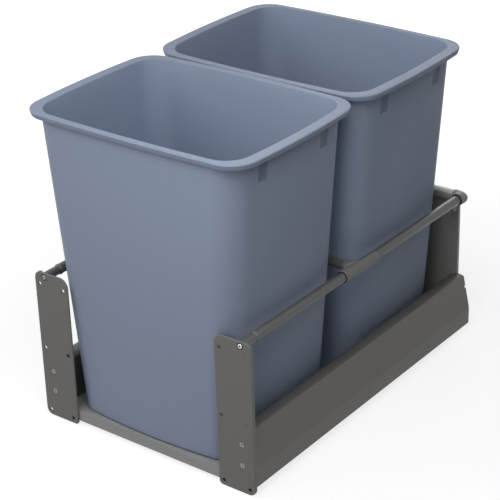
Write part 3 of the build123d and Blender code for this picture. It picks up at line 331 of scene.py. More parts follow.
def make_edge_group():
    """Mask = how far the rounded normal leaves the true normal, broken up by noise."""
    tree, given, result = new_group(
        "edge_wear_and_painted_highlight",
        [("Radius", "float", 1.0 * MM), ("Strength", "float", 1.0), ("Patch Scale", "float", 90.0)],
        [("Mask", "float")],
    )
    place = add_node(tree, "ShaderNodeTexCoord")
    rounded = add_node(tree, "ShaderNodeBevel", {"samples": 4})
    wire(tree, given, "Radius", rounded, "Radius")
    true = add_node(tree, "ShaderNodeNewGeometry")
    agree = add_node(tree, "ShaderNodeVectorMath", {"operation": "DOT_PRODUCT"})
    wire(tree, rounded, "Normal", agree, 0)
    wire(tree, true, "Normal", agree, 1)
    apart = add_node(
        tree,
        "ShaderNodeMapRange",
        inputs={"From Min": AGREE_FLAT, "From Max": AGREE_WORN, "To Min": 0.0, "To Max": 1.0},
    )
    wire(tree, agree, "Value", apart, "Value")
    patch = add_node(tree, "ShaderNodeTexNoise", inputs={"Detail": 4.0, "Roughness": 0.7})
    wire(tree, place, "Object", patch, "Vector")
    wire(tree, given, "Patch Scale", patch, "Scale")
    broken = add_node(
        tree,
        "ShaderNodeMapRange",
        inputs={"From Min": 0.35, "From Max": 0.65, "To Min": LEAST_WEAR, "To Max": 1.0},
    )
    wire(tree, patch, "Fac", broken, "Value")
    both = add_node(tree, "ShaderNodeMath", {"operation": "MULTIPLY"})
    wire(tree, apart, "Result", both, 0)
    wire(tree, broken, "Result", both, 1)
    scaled = add_node(tree, "ShaderNodeMath", {"operation": "MULTIPLY", "use_clamp": True})
    wire(tree, both, "Value", scaled, 0)
    wire(tree, given, "Strength", scaled, 1)
    wire(tree, scaled, "Value", result, "Mask")
    return tree


EDGE_WEAR_AND_HIGHLIGHT = make_edge_group()

# %% [markdown]
# Scuffs are long thin scratches that lie in one direction: down the outside of a bin where it
# slides past the rails, or along a runner where the rollers travel. Stretching a noise many times
# over along one axis and keeping only its highest crests gives them.

# %% Scuff group
SCUFF_LEVEL = 0.72
SCUFF_SHARPNESS = 12.0


def make_scuff_group():
    """Mask = crests of a noise that is stretched along one axis by the Stretch vector."""
    tree, given, result = new_group(
        "long_scuffs",
        [("Stretch", "vector", (900.0, 900.0, 12.0)), ("Cover", "float", 0.1)],
        [("Mask", "float")],
    )
    place = add_node(tree, "ShaderNodeTexCoord")
    stretched = add_node(tree, "ShaderNodeVectorMath", {"operation": "MULTIPLY"})
    wire(tree, place, "Object", stretched, 0)
    wire(tree, given, "Stretch", stretched, 1)
    noise_values = {"Scale": 1.0, "Detail": 2.0, "Roughness": 0.5}
    lines = add_node(tree, "ShaderNodeTexNoise", inputs=noise_values)
    wire(tree, stretched, "Vector", lines, "Vector")
    threshold = add_node(tree, "ShaderNodeMath", {"operation": "SUBTRACT"})
    threshold.inputs[0].default_value = SCUFF_LEVEL
    wire(tree, given, "Cover", threshold, 1)
    above = add_node(tree, "ShaderNodeMath", {"operation": "SUBTRACT"})
    wire(tree, lines, "Fac", above, 0)
    wire(tree, threshold, "Value", above, 1)
    crest = add_node(tree, "ShaderNodeMath", {"operation": "MULTIPLY", "use_clamp": True})
    crest.inputs[1].default_value = SCUFF_SHARPNESS
    wire(tree, above, "Value", crest, 0)
    wire(tree, crest, "Value", result, "Mask")
    return tree


SCUFFS = make_scuff_group()

# %% [markdown]
# One recipe builds every finish. The base colour drifts a little with the cloud tone, lightens
# along edges, partly as wear and partly as a painted highlight, and where scuffs run, and the same
# masks change how rough it is. Where a piece carries a painted shade value, a darker colour paints
# shade there. Grain goes to a Bump node. The numbers that don't vary, such as metallic, stay on
# the shader itself.

# %% The finish recipe
ROUGHNESS_DRIFT = 0.1
SCUFF_COVER = 0.08
SCUFF_ROUGHER = 0.15
WEAR_AND_HIGHLIGHT_LIGHTER = 1.5
SCUFFED_LIGHTER = 1.3
BUMP_DISTANCE = 0.06 * MM


def scaled_colour(colour, factor):
    """Colour with its three channels scaled, at most 1, and an alpha of one."""
    return tuple(min(1, channel * factor) for channel in colour[:3]) + (1,)


def make_finish(
    name,
    colour,
    roughness,
    grain,
    metallic=0.0,
    specular=0.5,
    tone_drift=0.06,
    bump=0.15,
    wear_and_highlight_colour=None,
    wear_and_highlight_radius=0.8 * MM,
    wear=0.35,
    scuff=0.0,
    scuff_stretch=(900.0, 900.0, 12.0),
    anisotropic=0.0,
    painted_shade_colour=None,
):
    """Material with grain, slow tone drift, edges lightened by wear and a painted highlight, and long scuffs
    on one Principled shader.

    With a painted shade colour, the piece's own painted shade value from 0 to 1 blends it in: a darker
    colour painted where shade falls.
    """
    material = bpy.data.materials.new(name)
    material.use_nodes = True
    tree = material.node_tree
    tree.nodes.clear()
    output = tree.nodes.new("ShaderNodeOutputMaterial")
    shader = add_node(
        tree,
        "ShaderNodeBsdfPrincipled",
        inputs={"Metallic": metallic, "Specular IOR Level": specular, "Anisotropic": anisotropic},
    )
    wire(tree, shader, "BSDF", output, "Surface")
    texture = use_group(tree, GRAIN, grain)

    drift = add_node(tree, "ShaderNodeMix", {"data_type": "RGBA"})
    drift.inputs["A"].default_value = scaled_colour(colour, 1 - tone_drift)
    drift.inputs["B"].default_value = scaled_colour(colour, 1 + tone_drift)
    wire(tree, texture, "Tone", drift, "Factor")

    # Edge mask: a lighter colour along edges, partly wear and partly a painted highlight.
    edges = use_group(tree, EDGE_WEAR_AND_HIGHLIGHT, {"Radius": wear_and_highlight_radius, "Strength": wear})
    wear_and_highlight_mix = add_node(tree, "ShaderNodeMix", {"data_type": "RGBA"})
    wear_and_highlight_mix.inputs["B"].default_value = wear_and_highlight_colour or scaled_colour(colour, WEAR_AND_HIGHLIGHT_LIGHTER)
    wire(tree, edges, "Mask", wear_and_highlight_mix, "Factor")
    wire(tree, drift, "Result", wear_and_highlight_mix, "A")
    last_colour = wear_and_highlight_mix.outputs["Result"]

    rough = add_node(
        tree,
        "ShaderNodeMapRange",
        inputs={
            "From Min": 0.3,
            "From Max": 0.7,
            "To Min": roughness * (1 - ROUGHNESS_DRIFT),
            "To Max": roughness * (1 + ROUGHNESS_DRIFT),
        },
    )
    wire(tree, texture, "Tone", rough, "Value")
    last_rough = rough.outputs["Result"]

    if scuff:
        lines = use_group(tree, SCUFFS, {"Stretch": scuff_stretch, "Cover": SCUFF_COVER})
        amount = add_node(tree, "ShaderNodeMath", {"operation": "MULTIPLY"})
        amount.inputs[1].default_value = scuff
        wire(tree, lines, "Mask", amount, 0)
        scuffed = add_node(tree, "ShaderNodeMix", {"data_type": "RGBA"})
        scuffed.inputs["B"].default_value = scaled_colour(colour, SCUFFED_LIGHTER)
        wire(tree, amount, "Value", scuffed, "Factor")
        tree.links.new(last_colour, scuffed.inputs["A"])
        last_colour = scuffed.outputs["Result"]
        rougher = add_node(tree, "ShaderNodeMath", {"operation": "MULTIPLY_ADD"})
        rougher.inputs[1].default_value = SCUFF_ROUGHER
        wire(tree, amount, "Value", rougher, 0)
        tree.links.new(last_rough, rougher.inputs[2])
        last_rough = rougher.outputs["Value"]

    # Painted shade: the piece's own value blends a darker colour in where shade falls.
    if painted_shade_colour:
        painted_shade = add_node(tree, "ShaderNodeAttribute", {"attribute_name": "painted_shade"})
        painted_shade_mix = add_node(tree, "ShaderNodeMix", {"data_type": "RGBA"})
        painted_shade_mix.inputs["B"].default_value = painted_shade_colour
        wire(tree, painted_shade, "Fac", painted_shade_mix, "Factor")
        tree.links.new(last_colour, painted_shade_mix.inputs["A"])
        last_colour = painted_shade_mix.outputs["Result"]

    tree.links.new(last_colour, shader.inputs["Base Color"])
    tree.links.new(last_rough, shader.inputs["Roughness"])
    raised = add_node(tree, "ShaderNodeBump", inputs={"Strength": bump, "Distance": BUMP_DISTANCE})
    wire(tree, texture, "Height", raised, "Height")
    wire(tree, raised, "Normal", shader, "Normal")
    return material


# %% [markdown]
# The finishes of this frame. The bins are a matt blue-grey moulding with a fine spark-eroded
# grain. The frame is a warm grey powder coat with an orange-peel skin; the back sheet's paler coat
# carries some painted light. The rail along the back is a paler satin metal. The fittings are
# moulded in the frame's grey, with a painted highlight along their edges, and the hidden runners
# are zinc-plated steel with black cages. A near-black paints shade in gaps, sockets and holes.
# What several coats, mouldings or screws share is written once.

# %% Finishes
BIN_GRAIN = {"Fine Scale": 1900.0, "Coarse Scale": 420.0, "Coarse Share": 0.35, "Cloud Scale": 7.0}
COAT_GRAIN = {"Fine Scale": 2600.0, "Coarse Scale": 700.0, "Coarse Share": 0.6, "Cloud Scale": 11.0}
PLATE_GRAIN = {"Fine Scale": 3500.0, "Coarse Scale": 900.0, "Coarse Share": 0.3, "Cloud Scale": 30.0}

COATED = {"metallic": 0.15, "tone_drift": 0.05, "grain": COAT_GRAIN}
# Full-strength pale edges on the moulded fittings: a painted highlight along their edges, with some wear.
MOULDED = {"roughness": 0.46, "specular": 0.4, "tone_drift": 0.04, "grain": COAT_GRAIN, "wear": 1.0}
SCREWED = {"tone_drift": 0.05, "grain": PLATE_GRAIN, "bump": 0.1}

BIN_PLASTIC = make_finish(
    "bin_moulding",
    srgb(150, 162, 185),
    roughness=0.55,
    specular=0.28,
    tone_drift=0.035,
    grain=BIN_GRAIN,
    bump=0.22,
    # The pale edge on the bin's rounds is partly wear and partly a painted highlight along the rim.
    wear_and_highlight_radius=1.6 * MM,
    wear=0.3,
    scuff=0.12,
    scuff_stretch=(700.0, 700.0, 9.0),
    # This darker colour is painted shade: it fills the pockets in full and the skirt and the rim in part.
    painted_shade_colour=srgb(116, 127, 146),
)
POWDER_COAT = make_finish(
    "grey_powder_coat",
    srgb(106, 104, 100),
    roughness=0.42,
    specular=0.45,
    bump=0.2,
    wear_and_highlight_radius=0.7 * MM,
    wear=0.2,
    **COATED,
)
RAIL_COAT = make_finish(
    "rail_powder_coat",
    srgb(97, 99, 97),
    roughness=0.4,
    specular=0.45,
    bump=0.18,
    wear_and_highlight_radius=0.6 * MM,
    wear=0.4,
    **COATED,
)
# The back sheet, its uprights and its hem take a paler coat than the frame: partly a paler paint, partly
# painted light, since few lamps reach the back behind the bins.
BACK_COAT_WITH_PAINTED_LIGHT = make_finish(
    "back_sheet_coat_with_painted_light",
    srgb(152, 150, 146),
    roughness=0.45,
    specular=0.4,
    bump=0.2,
    wear_and_highlight_radius=0.7 * MM,
    wear=0.3,
    **COATED,
)
SATIN_RAIL = make_finish(
    "satin_back_rail",
    srgb(216, 216, 211),
    roughness=0.38,
    metallic=0.2,
    tone_drift=0.04,
    grain=PLATE_GRAIN,
    bump=0.08,
    wear=0.2,
)
MOULDED_GREY = make_finish(
    "moulded_grey_fittings",
    srgb(120, 121, 119),
    wear_and_highlight_colour=srgb(196, 196, 190),
    wear_and_highlight_radius=1.5 * MM,
    **MOULDED,
)
CORNER_GREY = make_finish(
    "corner_moulded_grey_fittings",
    srgb(148, 149, 147),
    wear_and_highlight_colour=srgb(178, 178, 172),
    wear_and_highlight_radius=0.9 * MM,
    **MOULDED,
)
BOARD = make_finish(
    "grey_faced_board",
    srgb(156, 157, 155),
    roughness=0.5,
    tone_drift=0.03,
    grain={"Fine Scale": 900.0, "Coarse Scale": 160.0, "Coarse Share": 0.4, "Cloud Scale": 14.0},
    bump=0.12,
    wear_and_highlight_colour=srgb(174, 168, 158),
    wear=0.3,
    scuff=0.1,
    scuff_stretch=(14.0, 500.0, 500.0),
)
ZINC = make_finish(
    "zinc_plated_steel",
    srgb(176, 178, 180),
    roughness=0.32,
    metallic=0.9,
    tone_drift=0.08,
    grain=PLATE_GRAIN,
    bump=0.1,
    wear=0.2,
    scuff=0.25,
    scuff_stretch=(900.0, 6.0, 900.0),
    anisotropic=0.3,
)
BRIGHT_SCREW = make_finish(
    "bright_screws",
    srgb(205, 200, 192),
    roughness=0.22,
    metallic=1.0,
    tone_drift=0.06,
    grain=PLATE_GRAIN,
    bump=0.08,
    wear=0.15,
)
DARK_SCREW = make_finish(
    "coated_screws",
    srgb(118, 116, 112),
    roughness=0.35,
    metallic=0.7,
    wear_and_highlight_radius=0.4 * MM,
    wear=0.9,
    **SCREWED,
)
SATIN_SCREW = make_finish(
    "satin_screws",
    srgb(164, 162, 158),
    roughness=0.32,
    metallic=0.6,
    wear_and_highlight_radius=0.5 * MM,
    wear=0.8,
    **SCREWED,
)
CAST_METAL = make_finish(
    "cast_block_metal",
    srgb(165, 166, 168),
    roughness=0.55,
    metallic=0.85,
    tone_drift=0.07,
    grain={"Fine Scale": 1200.0, "Coarse Scale": 300.0, "Coarse Share": 0.5, "Cloud Scale": 40.0},
    bump=0.35,
)
# A near-black for small pieces that paint shade: the gaps at the fittings' ends and mouths, under the rail
# screws' heads, at the bottom of sockets and inside two holes per bracket.
SHADE_BLACK = make_finish(
    "painted_shade_black",
    srgb(24, 24, 25),
    roughness=0.6,
    specular=0.2,
    tone_drift=0.05,
    grain=COAT_GRAIN,
    bump=0.1,
    wear=0.1,
)
BLACK_CAGE = make_finish(
    "black_cage_plastic",
    srgb(44, 44, 46),
    roughness=0.5,
    tone_drift=0.05,
    grain=COAT_GRAIN,
    bump=0.15,
)
print("finishes:", len(bpy.data.materials), "effect groups:", len(bpy.data.node_groups))

# %% [markdown]
# A bin is one moulding of even thickness: a tapered shell whose four sides bow gently outwards, a
# wide flat rim that turns down into a short skirt, and a rounded foot. From above, each side is an
# arc and each corner is a circle that touches both arcs. That outline, worked out for every height
# at once, is the whole bin: the profile only says how far in each ring lies and how high.

# %% The bin's outline
CORNER_POINTS = 18
SIDE_POINTS = 112
FRONT_POINTS = 56


def bowed_outline(half_x, half_y, side_bow, front_bow, corner):
    """Rings of a rounded oblong with bowed sides, one ring for each entry of the input arrays.

    A side through (half_x, +-half_y) and (half_x + bow, 0) is an arc of radius (half_y² + bow²) / 2 bow.
    A corner is a circle of radius c inside both arcs: its centre lies (side radius - c) from the side
    arc's centre and (front radius - c) from the front arc's centre, so it is where two circles cross.
    """
    side_radius = (half_y**2 + side_bow**2) / (2 * side_bow)
    front_radius = (half_x**2 + front_bow**2) / (2 * front_bow)
    side_centre = half_x + side_bow - side_radius
    front_centre = half_y + front_bow - front_radius
    reach_side = side_radius - corner
    reach_front = front_radius - corner
    apart = np.hypot(side_centre, front_centre)
    along = (reach_side**2 - reach_front**2 + apart**2) / (2 * apart)
    across = np.sqrt(reach_side**2 - along**2)
    corner_x = side_centre + along * (-side_centre) / apart + across * (-front_centre) / apart
    corner_y = along * front_centre / apart + across * (-side_centre) / apart
    side_turn = np.arctan2(corner_y, corner_x - side_centre)
    front_turn = np.arctan2(corner_y - front_centre, corner_x)

    def arc(centre_x, centre_y, radius, start, end, count):
        share = np.arange(count) / count
        angle = start[:, None] + (end - start)[:, None] * share
        x = centre_x[:, None] + radius[:, None] * np.cos(angle)
        y = centre_y[:, None] + radius[:, None] * np.sin(angle)
        return np.stack([x, y], axis=2)

    none = np.zeros_like(half_x)
    half_turn, full_turn = math.pi, 2 * math.pi
    arcs = [
        arc(side_centre, none, side_radius, -side_turn, side_turn, SIDE_POINTS),
        arc(corner_x, corner_y, corner, side_turn, front_turn, CORNER_POINTS),
        arc(none, front_centre, front_radius, front_turn, half_turn - front_turn, FRONT_POINTS),
        arc(-corner_x, corner_y, corner, half_turn - front_turn, half_turn - side_turn, CORNER_POINTS),
        arc(-side_centre, none, side_radius, half_turn - side_turn, half_turn + side_turn, SIDE_POINTS),
        arc(-corner_x, -corner_y, corner, half_turn + side_turn, half_turn + front_turn, CORNER_POINTS),
        arc(none, -front_centre, front_radius, half_turn + front_turn, full_turn - front_turn, FRONT_POINTS),
        arc(corner_x, -corner_y, corner, full_turn - front_turn, full_turn - side_turn, CORNER_POINTS),
    ]
    return np.concatenate(arcs, axis=1)


# %% [markdown]
# The profile is written as rings, from the middle of the inside floor, up the inside wall, over
# the rim, down its skirt, up under it, down the outside wall and in under the foot. Each ring is
# the shell's outline at its height or the rim's outline, drawn in by an inset, or a mixture of the
# two across the flat of the rim.

# %% The bin's sizes
BIN_LOW, BIN_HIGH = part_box("front_bin")
BIN_HEIGHT = BIN_HIGH.z - BIN_LOW.z
RIM_BOW_X = 6.0 * MM
RIM_BOW_Y = 5.0 * MM
RIM_HALF_X = BIN_HIGH.x - RIM_BOW_X
RIM_HALF_Y = (BIN_HIGH.y - BIN_LOW.y) / 2 - RIM_BOW_Y
RIM_CORNER = 38.0 * MM
MOUTH_CORNER = 37.0 * MM
SIDE_FLANGE = 13.6 * MM
FRONT_FLANGE = 7.2 * MM
RIM_ROUND = 1.6 * MM
RIM_SKIRT = 8.0 * MM
SKIRT_DRAFT = 1.4 * MM
SKIRT_WALL = 2.4 * MM
LIP_ROUND = 1.4 * MM
FOOT_HALF_X = 132.0 * MM
FOOT_HALF_Y = 107.5 * MM
FOOT_BOW_X = 5.0 * MM
FOOT_BOW_Y = 9.0 * MM
FOOT_CORNER = 38.0 * MM
FOOT_ROUND = 5.0 * MM
FLOOR_ROUND = 6.4 * MM
BIN_WALL = 2.6 * MM
BIN_FLOOR = 3.0 * MM
FLOOR_CROWN = 1.2 * MM
POCKET_TOP = 11.5 * MM
POCKET_WIDTH = 20.0 * MM
POCKET_HEIGHT = 32.0 * MM
POCKET_SPACING = 128.0 * MM
POCKET_DEPTH = 1.7 * MM
POCKET_EDGE = 3.2 * MM
# Shares of the painted shade colour on the skirt and on the rim: painted shade.
SKIRT_PAINTED_SHADE = 0.3
RIM_PAINTED_SHADE = 0.22
BIN_SHARP_DEGREES = 60.0
ROUND_RINGS = 7
WALL_RINGS = 26
POCKET_RINGS = 34
FLOOR_RINGS = 9
LAST_FLOOR_SHARE = 0.06
print("bin box, mm:", [round(v / MM, 1) for v in BIN_HIGH - BIN_LOW])

# %% [markdown]
# Each ring is seven numbers: the two half widths, the two bows, the corner's radius, the height and
# a share that shrinks the whole ring towards its middle. The shell changes evenly from its foot to
# its mouth. Each round edge is a quarter or half circle, written with sines and cosines.

# %% The bin's rings
def shell_ring(inset, z):
    """Outline sizes of the tapered shell at heights z above the foot, drawn in by an inset."""
    inset, z = np.broadcast_arrays(np.asarray(inset, float), np.asarray(z, float))
    share = z / BIN_HEIGHT
    top_x = RIM_HALF_X - SIDE_FLANGE
    top_y = RIM_HALF_Y - FRONT_FLANGE
    sizes = [
        FOOT_HALF_X + (top_x - FOOT_HALF_X) * share - inset,
        FOOT_HALF_Y + (top_y - FOOT_HALF_Y) * share - inset,
        FOOT_BOW_X + (RIM_BOW_X - FOOT_BOW_X) * share,
        FOOT_BOW_Y + (RIM_BOW_Y - FOOT_BOW_Y) * share,
        FOOT_CORNER + (MOUTH_CORNER - FOOT_CORNER) * share - inset,
    ]
    return np.stack(sizes + [z, np.ones_like(z)], axis=1)


def rim_ring(inset, z):
    """Outline sizes of the rim at heights z, drawn in by an inset."""
    inset, z = np.broadcast_arrays(np.asarray(inset, float), np.asarray(z, float))
    flat = np.ones_like(z)
    sizes = [RIM_HALF_X - inset, RIM_HALF_Y - inset, RIM_BOW_X * flat, RIM_BOW_Y * flat, RIM_CORNER - inset]
    return np.stack(sizes + [z, flat], axis=1)


def between(first, last, steps):
    """Rings that go evenly from one ring to another, without the two ends."""
    share = np.linspace(0, 1, steps + 2)[1:-1, None]
    return first[-1:] * (1 - share) + last[:1] * share


def floor_rings(ring, inwards):
    """Rings that shrink a ring towards its middle, rising a little on the way."""
    share = np.linspace(1, LAST_FLOOR_SHARE, FLOOR_RINGS)[1:]
    rings = np.repeat(ring, len(share), axis=0)
    rings[:, 6] = share
    rings[:, 5] += FLOOR_CROWN * (1 - share**2)
    return rings[::-1] if inwards else rings


def bin_rings():
    """All rings, from the middle of the inside floor to the middle of the foot outside.

    Beside them stand the rows of the rim, of the skirt's upper part and of the outer wall.
    """
    top = BIN_HEIGHT
    quarter = np.radians(np.linspace(0, 90, ROUND_RINGS))
    less_sine, less_cosine = 1 - np.sin(quarter), 1 - np.cos(quarter)
    half = np.radians(np.linspace(0, 180, ROUND_RINGS))
    inner_foot = shell_ring(BIN_WALL + FLOOR_ROUND * less_sine, BIN_FLOOR + FLOOR_ROUND * less_cosine)
    inner_heights = np.linspace(BIN_FLOOR + FLOOR_ROUND, top - LIP_ROUND, WALL_RINGS)[1:]
    lip = shell_ring(BIN_WALL - LIP_ROUND * less_cosine, top - LIP_ROUND * less_sine)
    edge = rim_ring(RIM_ROUND * less_sine, top - RIM_ROUND * less_cosine)
    skirt_end = top - RIM_SKIRT
    tip = SKIRT_WALL / 2
    skirt_tip = rim_ring(SKIRT_DRAFT + tip * (1 - np.cos(half)), skirt_end + tip * (1 - np.sin(half)))
    under = top - SKIRT_WALL - LIP_ROUND
    skirt_share = np.linspace(0, 1, 5)[1:-1]
    skirt_top = top - RIM_ROUND
    skirt_out = rim_ring(SKIRT_DRAFT * skirt_share, skirt_top + (skirt_end + tip - skirt_top) * skirt_share)
    skirt_rise = skirt_end + tip + (under - skirt_end - tip) * skirt_share
    skirt_in = rim_ring(SKIRT_WALL + SKIRT_DRAFT * (1 - skirt_share), skirt_rise)
    under_round = rim_ring(SKIRT_WALL + LIP_ROUND * less_cosine, under + LIP_ROUND * np.sin(quarter))
    crotch = shell_ring(-LIP_ROUND * less_sine, top - SKIRT_WALL - LIP_ROUND * less_cosine)
    pocket_low = top - POCKET_TOP - POCKET_HEIGHT - 2 * POCKET_EDGE
    outer_heights = [
        np.linspace(under, skirt_end + POCKET_EDGE, 4)[1:],
        np.linspace(skirt_end, pocket_low, POCKET_RINGS),
        np.linspace(pocket_low, FOOT_ROUND, WALL_RINGS)[1:],
    ]
    outer_foot = shell_ring(FOOT_ROUND * less_cosine, FOOT_ROUND * less_sine)[1:]
    rings = {
        "inner_floor": floor_rings(inner_foot[:1], True),
        "inner_foot": inner_foot,
        "inner_wall": shell_ring(BIN_WALL, inner_heights),
        "lip": lip[1:],
        "rim_flat": between(lip, edge, 4),
        "edge": edge,
        "skirt_out": skirt_out,
        "skirt_tip": skirt_tip,
        "skirt_in": skirt_in,
        "under_round": under_round,
        "under_flat": between(under_round, crotch, 3),
        "crotch": crotch,
        "outer_wall": shell_ring(0.0, np.concatenate(outer_heights)),
        "outer_foot": outer_foot,
        "outer_floor": floor_rings(outer_foot[-1:], False),
    }
    starts = dict(zip(rings, np.cumsum([0] + [len(part) for part in rings.values()])))
    bands = {
        "rim": slice(starts["lip"], starts["skirt_out"]),
        "skirt": slice(starts["edge"] + len(edge) - 2, starts["skirt_tip"] + 3),
        "outer_wall": slice(starts["outer_wall"], starts["outer_foot"]),
    }
    return np.concatenate(list(rings.values())), bands


# %% [markdown]
# Under the rim, each long side has two shallow pockets pressed into its outer face. They aren't
# separate surfaces: the points of the outer wall that fall inside a pocket's rounded square are
# pushed in, and a narrow smooth step keeps its edge soft. The same step gives each point a
# painted shade value, so the pockets come out darker: painted shade.

# %% One bin
def smooth_step(value, low, high):
    """0 below low, 1 above high, and 3t² - 2t³ between them."""
    share = np.clip((value - low) / (high - low), 0, 1)
    return share * share * (3 - 2 * share)


def press_pockets(points):
    """Pushes outer wall points inwards inside the four pockets. Returns how far in each lies, 0 to 1."""
    middle = BIN_HEIGHT - POCKET_TOP - POCKET_HEIGHT / 2
    across = np.abs(np.abs(points[..., 1]) - POCKET_SPACING / 2) - POCKET_WIDTH / 2
    up = np.abs(points[..., 2] - middle) - POCKET_HEIGHT / 2
    inside = 1 - smooth_step(np.maximum(across, up), -POCKET_EDGE, 0)
    inside = inside * (np.abs(points[..., 0]) > FOOT_HALF_X)
    points[..., 0] -= np.sign(points[..., 0]) * POCKET_DEPTH * inside
    return inside


def make_bin(position):
    """The whole bin as one closed skin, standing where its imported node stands."""
    node = position + "_bin"
    rings, bands = bin_rings()
    outline = bowed_outline(*rings[:, :5].T) * rings[:, 6][:, None, None]
    heights = np.broadcast_to(rings[:, 5][:, None, None], outline.shape[:2] + (1,))
    points = np.concatenate([outline, heights], axis=2)
    # Painted shade: the pockets take the darker colour in full, the rim and the skirt in part.
    painted_shade = np.zeros(points.shape[:2])
    painted_shade[bands["outer_wall"]] = press_pockets(points[bands["outer_wall"]])
    painted_shade[bands["rim"]] = RIM_PAINTED_SHADE
    painted_shade[bands["skirt"]] = SKIRT_PAINTED_SHADE
    low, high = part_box(node)
    place = np.array([0.0, (low.y + high.y) / 2, low.z])
    poles = [[0, 0, points[0, 0, 2]], [0, 0, points[-1, 0, 2]]]
    flat = np.concatenate([points.reshape(-1, 3), poles]) + place
    faces = capped_faces(*points.shape[:2])
    painted_shade = np.append(painted_shade.ravel(), (0, 0))
    piece = mesh_from(node + "_moulding", flat, faces, BIN_SHARP_DEGREES, painted_shade)
    print(piece.name, "faces:", len(piece.data.polygons))
    stand_in(piece, node, BIN_PLASTIC)


for position in ("front", "rear"):
    make_bin(position)

# %% [markdown]
# The rails are drawn tube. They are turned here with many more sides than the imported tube, so
# their highlights run straight, and their cut ends are softened.

# %% Rails
RAIL_RADIUS = 7.0 * MM
RAIL_WALL = 1.2 * MM
CUT_EDGE = 0.3 * MM
RAIL_AROUND = 56


def make_rail(node, axis):
    """Straight tube that fills a packed rail's box from end to end."""
    low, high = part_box(node)
    middle = (low + high) / 2
    index = "xyz".index(axis)
    start, end = low[index], high[index]
    middle[index] = 0.0
    profile = tube_profile(start, end, RAIL_RADIUS, RAIL_RADIUS - RAIL_WALL, CUT_EDGE)
    stand_in(turned(node + "_drawn", axis, middle, profile, RAIL_AROUND), node, RAIL_COAT)


for side in ("left", "right"):
    make_rail("gallery_rail_" + side, "y")
make_rail("cross_rail", "x")

# %% [markdown]
# The corner at the back is a moulded elbow. A circle is carried along a path that lies level: out
# of the deep socket that takes the gallery rail, over its mouth, back along the outside, round a
# quarter turn and up to the seam with the back rail. There it narrows to the spigot inside that
# rail. Round the turn its outer side is drawn out, so the corner is fuller than a bent tube. A
# block under it plugs the top of the upright.

# %% Back corners
CORNER_RADIUS = 9.2 * MM
CORNER_TURN = 7.0 * MM
CORNER_EDGE = 0.5 * MM
CORNER_SWELL = 0.44
SOCKET_RADIUS = 7.1 * MM
SEAT_RADIUS = 8.4 * MM
SEAT_DEPTH = 1.6 * MM
SPIGOT_RADIUS = 7.0 * MM
SPIGOT_REACH = 12.0 * MM
SEAM_WIDTH = 0.5 * MM
SOCKET_END_GAP = 0.2 * MM
MOUTH_CHAMFER = 0.2 * MM
TURN_RINGS = 19
BLOCK_SEAM_GAP = 0.4 * MM
BLOCK_OUTER_INSET = 1.4 * MM
BLOCK_FRONT_INSET = 0.6 * MM
BLOCK_BACK_INSET = 0.3 * MM
BLOCK_TOP_SHARE = 0.75
BLOCK_EDGE = 0.4 * MM
RING_BORE = 7.03 * MM
RING_EDGE = 0.2 * MM
CORNER_RING_FRONT = 0.5 * MM
CORNER_RING_BACK = 0.1 * MM
CORNER_RING_INSET = 0.05 * MM


def carried(name, centres, sideways, radii, swell):
    """Circles carried along a level path, with both ends closed by a fan of triangles.

    Point = centre + radius * (cos t * (1 + swell * max(cos t, 0)) * sideways + sin t * up),
    t from 0 to a full turn, so swell draws the outer side of the bend out.
    """
    centres, sideways, radii = np.array(centres), np.array(sideways), np.array(radii)
    turn = np.linspace(0, 2 * math.pi, AROUND, endpoint=False)
    outer_share = 1 + np.array(swell)[:, None] * np.maximum(np.cos(turn), 0)[None, :]
    level = (np.cos(turn)[None, :] * outer_share)[:, :, None] * sideways[:, None, :]
    rise = np.sin(turn)[None, :, None] * np.array([0.0, 0.0, 1.0])
    points = centres[:, None, :] + radii[:, None, None] * (level + rise)
    flat = np.concatenate([points.reshape(-1, 3), centres[:1], centres[-1:]])
    return mesh_from(name, flat, capped_faces(len(radii), AROUND))


def join_pieces(main, others):
    """Adds the meshes of other pieces to a main piece."""
    shell = bmesh.new()
    for piece in [main] + others:
        shell.from_mesh(piece.data)
    shell.to_mesh(main.data)
    shell.free()
    for piece in others:
        bpy.data.objects.remove(piece)
    return main


def block_piece(name, low, high, edge):
    """Block between two corners with its edges bevelled."""
    shell = bmesh.new()
    bmesh.ops.create_cube(shell, size=1.0)
    middle, size = (np.array(low) + high) / 2, np.array(high) - low
    for vertex in shell.verts:
        vertex.co = Vector(middle + np.array(vertex.co) * size)
    bmesh.ops.bevel(shell, geom=shell.edges, offset=edge, segments=2, affect="EDGES", profile=0.5)
    mesh = bpy.data.meshes.new(name)
    shell.to_mesh(mesh)
    shell.free()
    finish_mesh(mesh, SHARP_DEGREES)
    return linked_object(name, mesh)


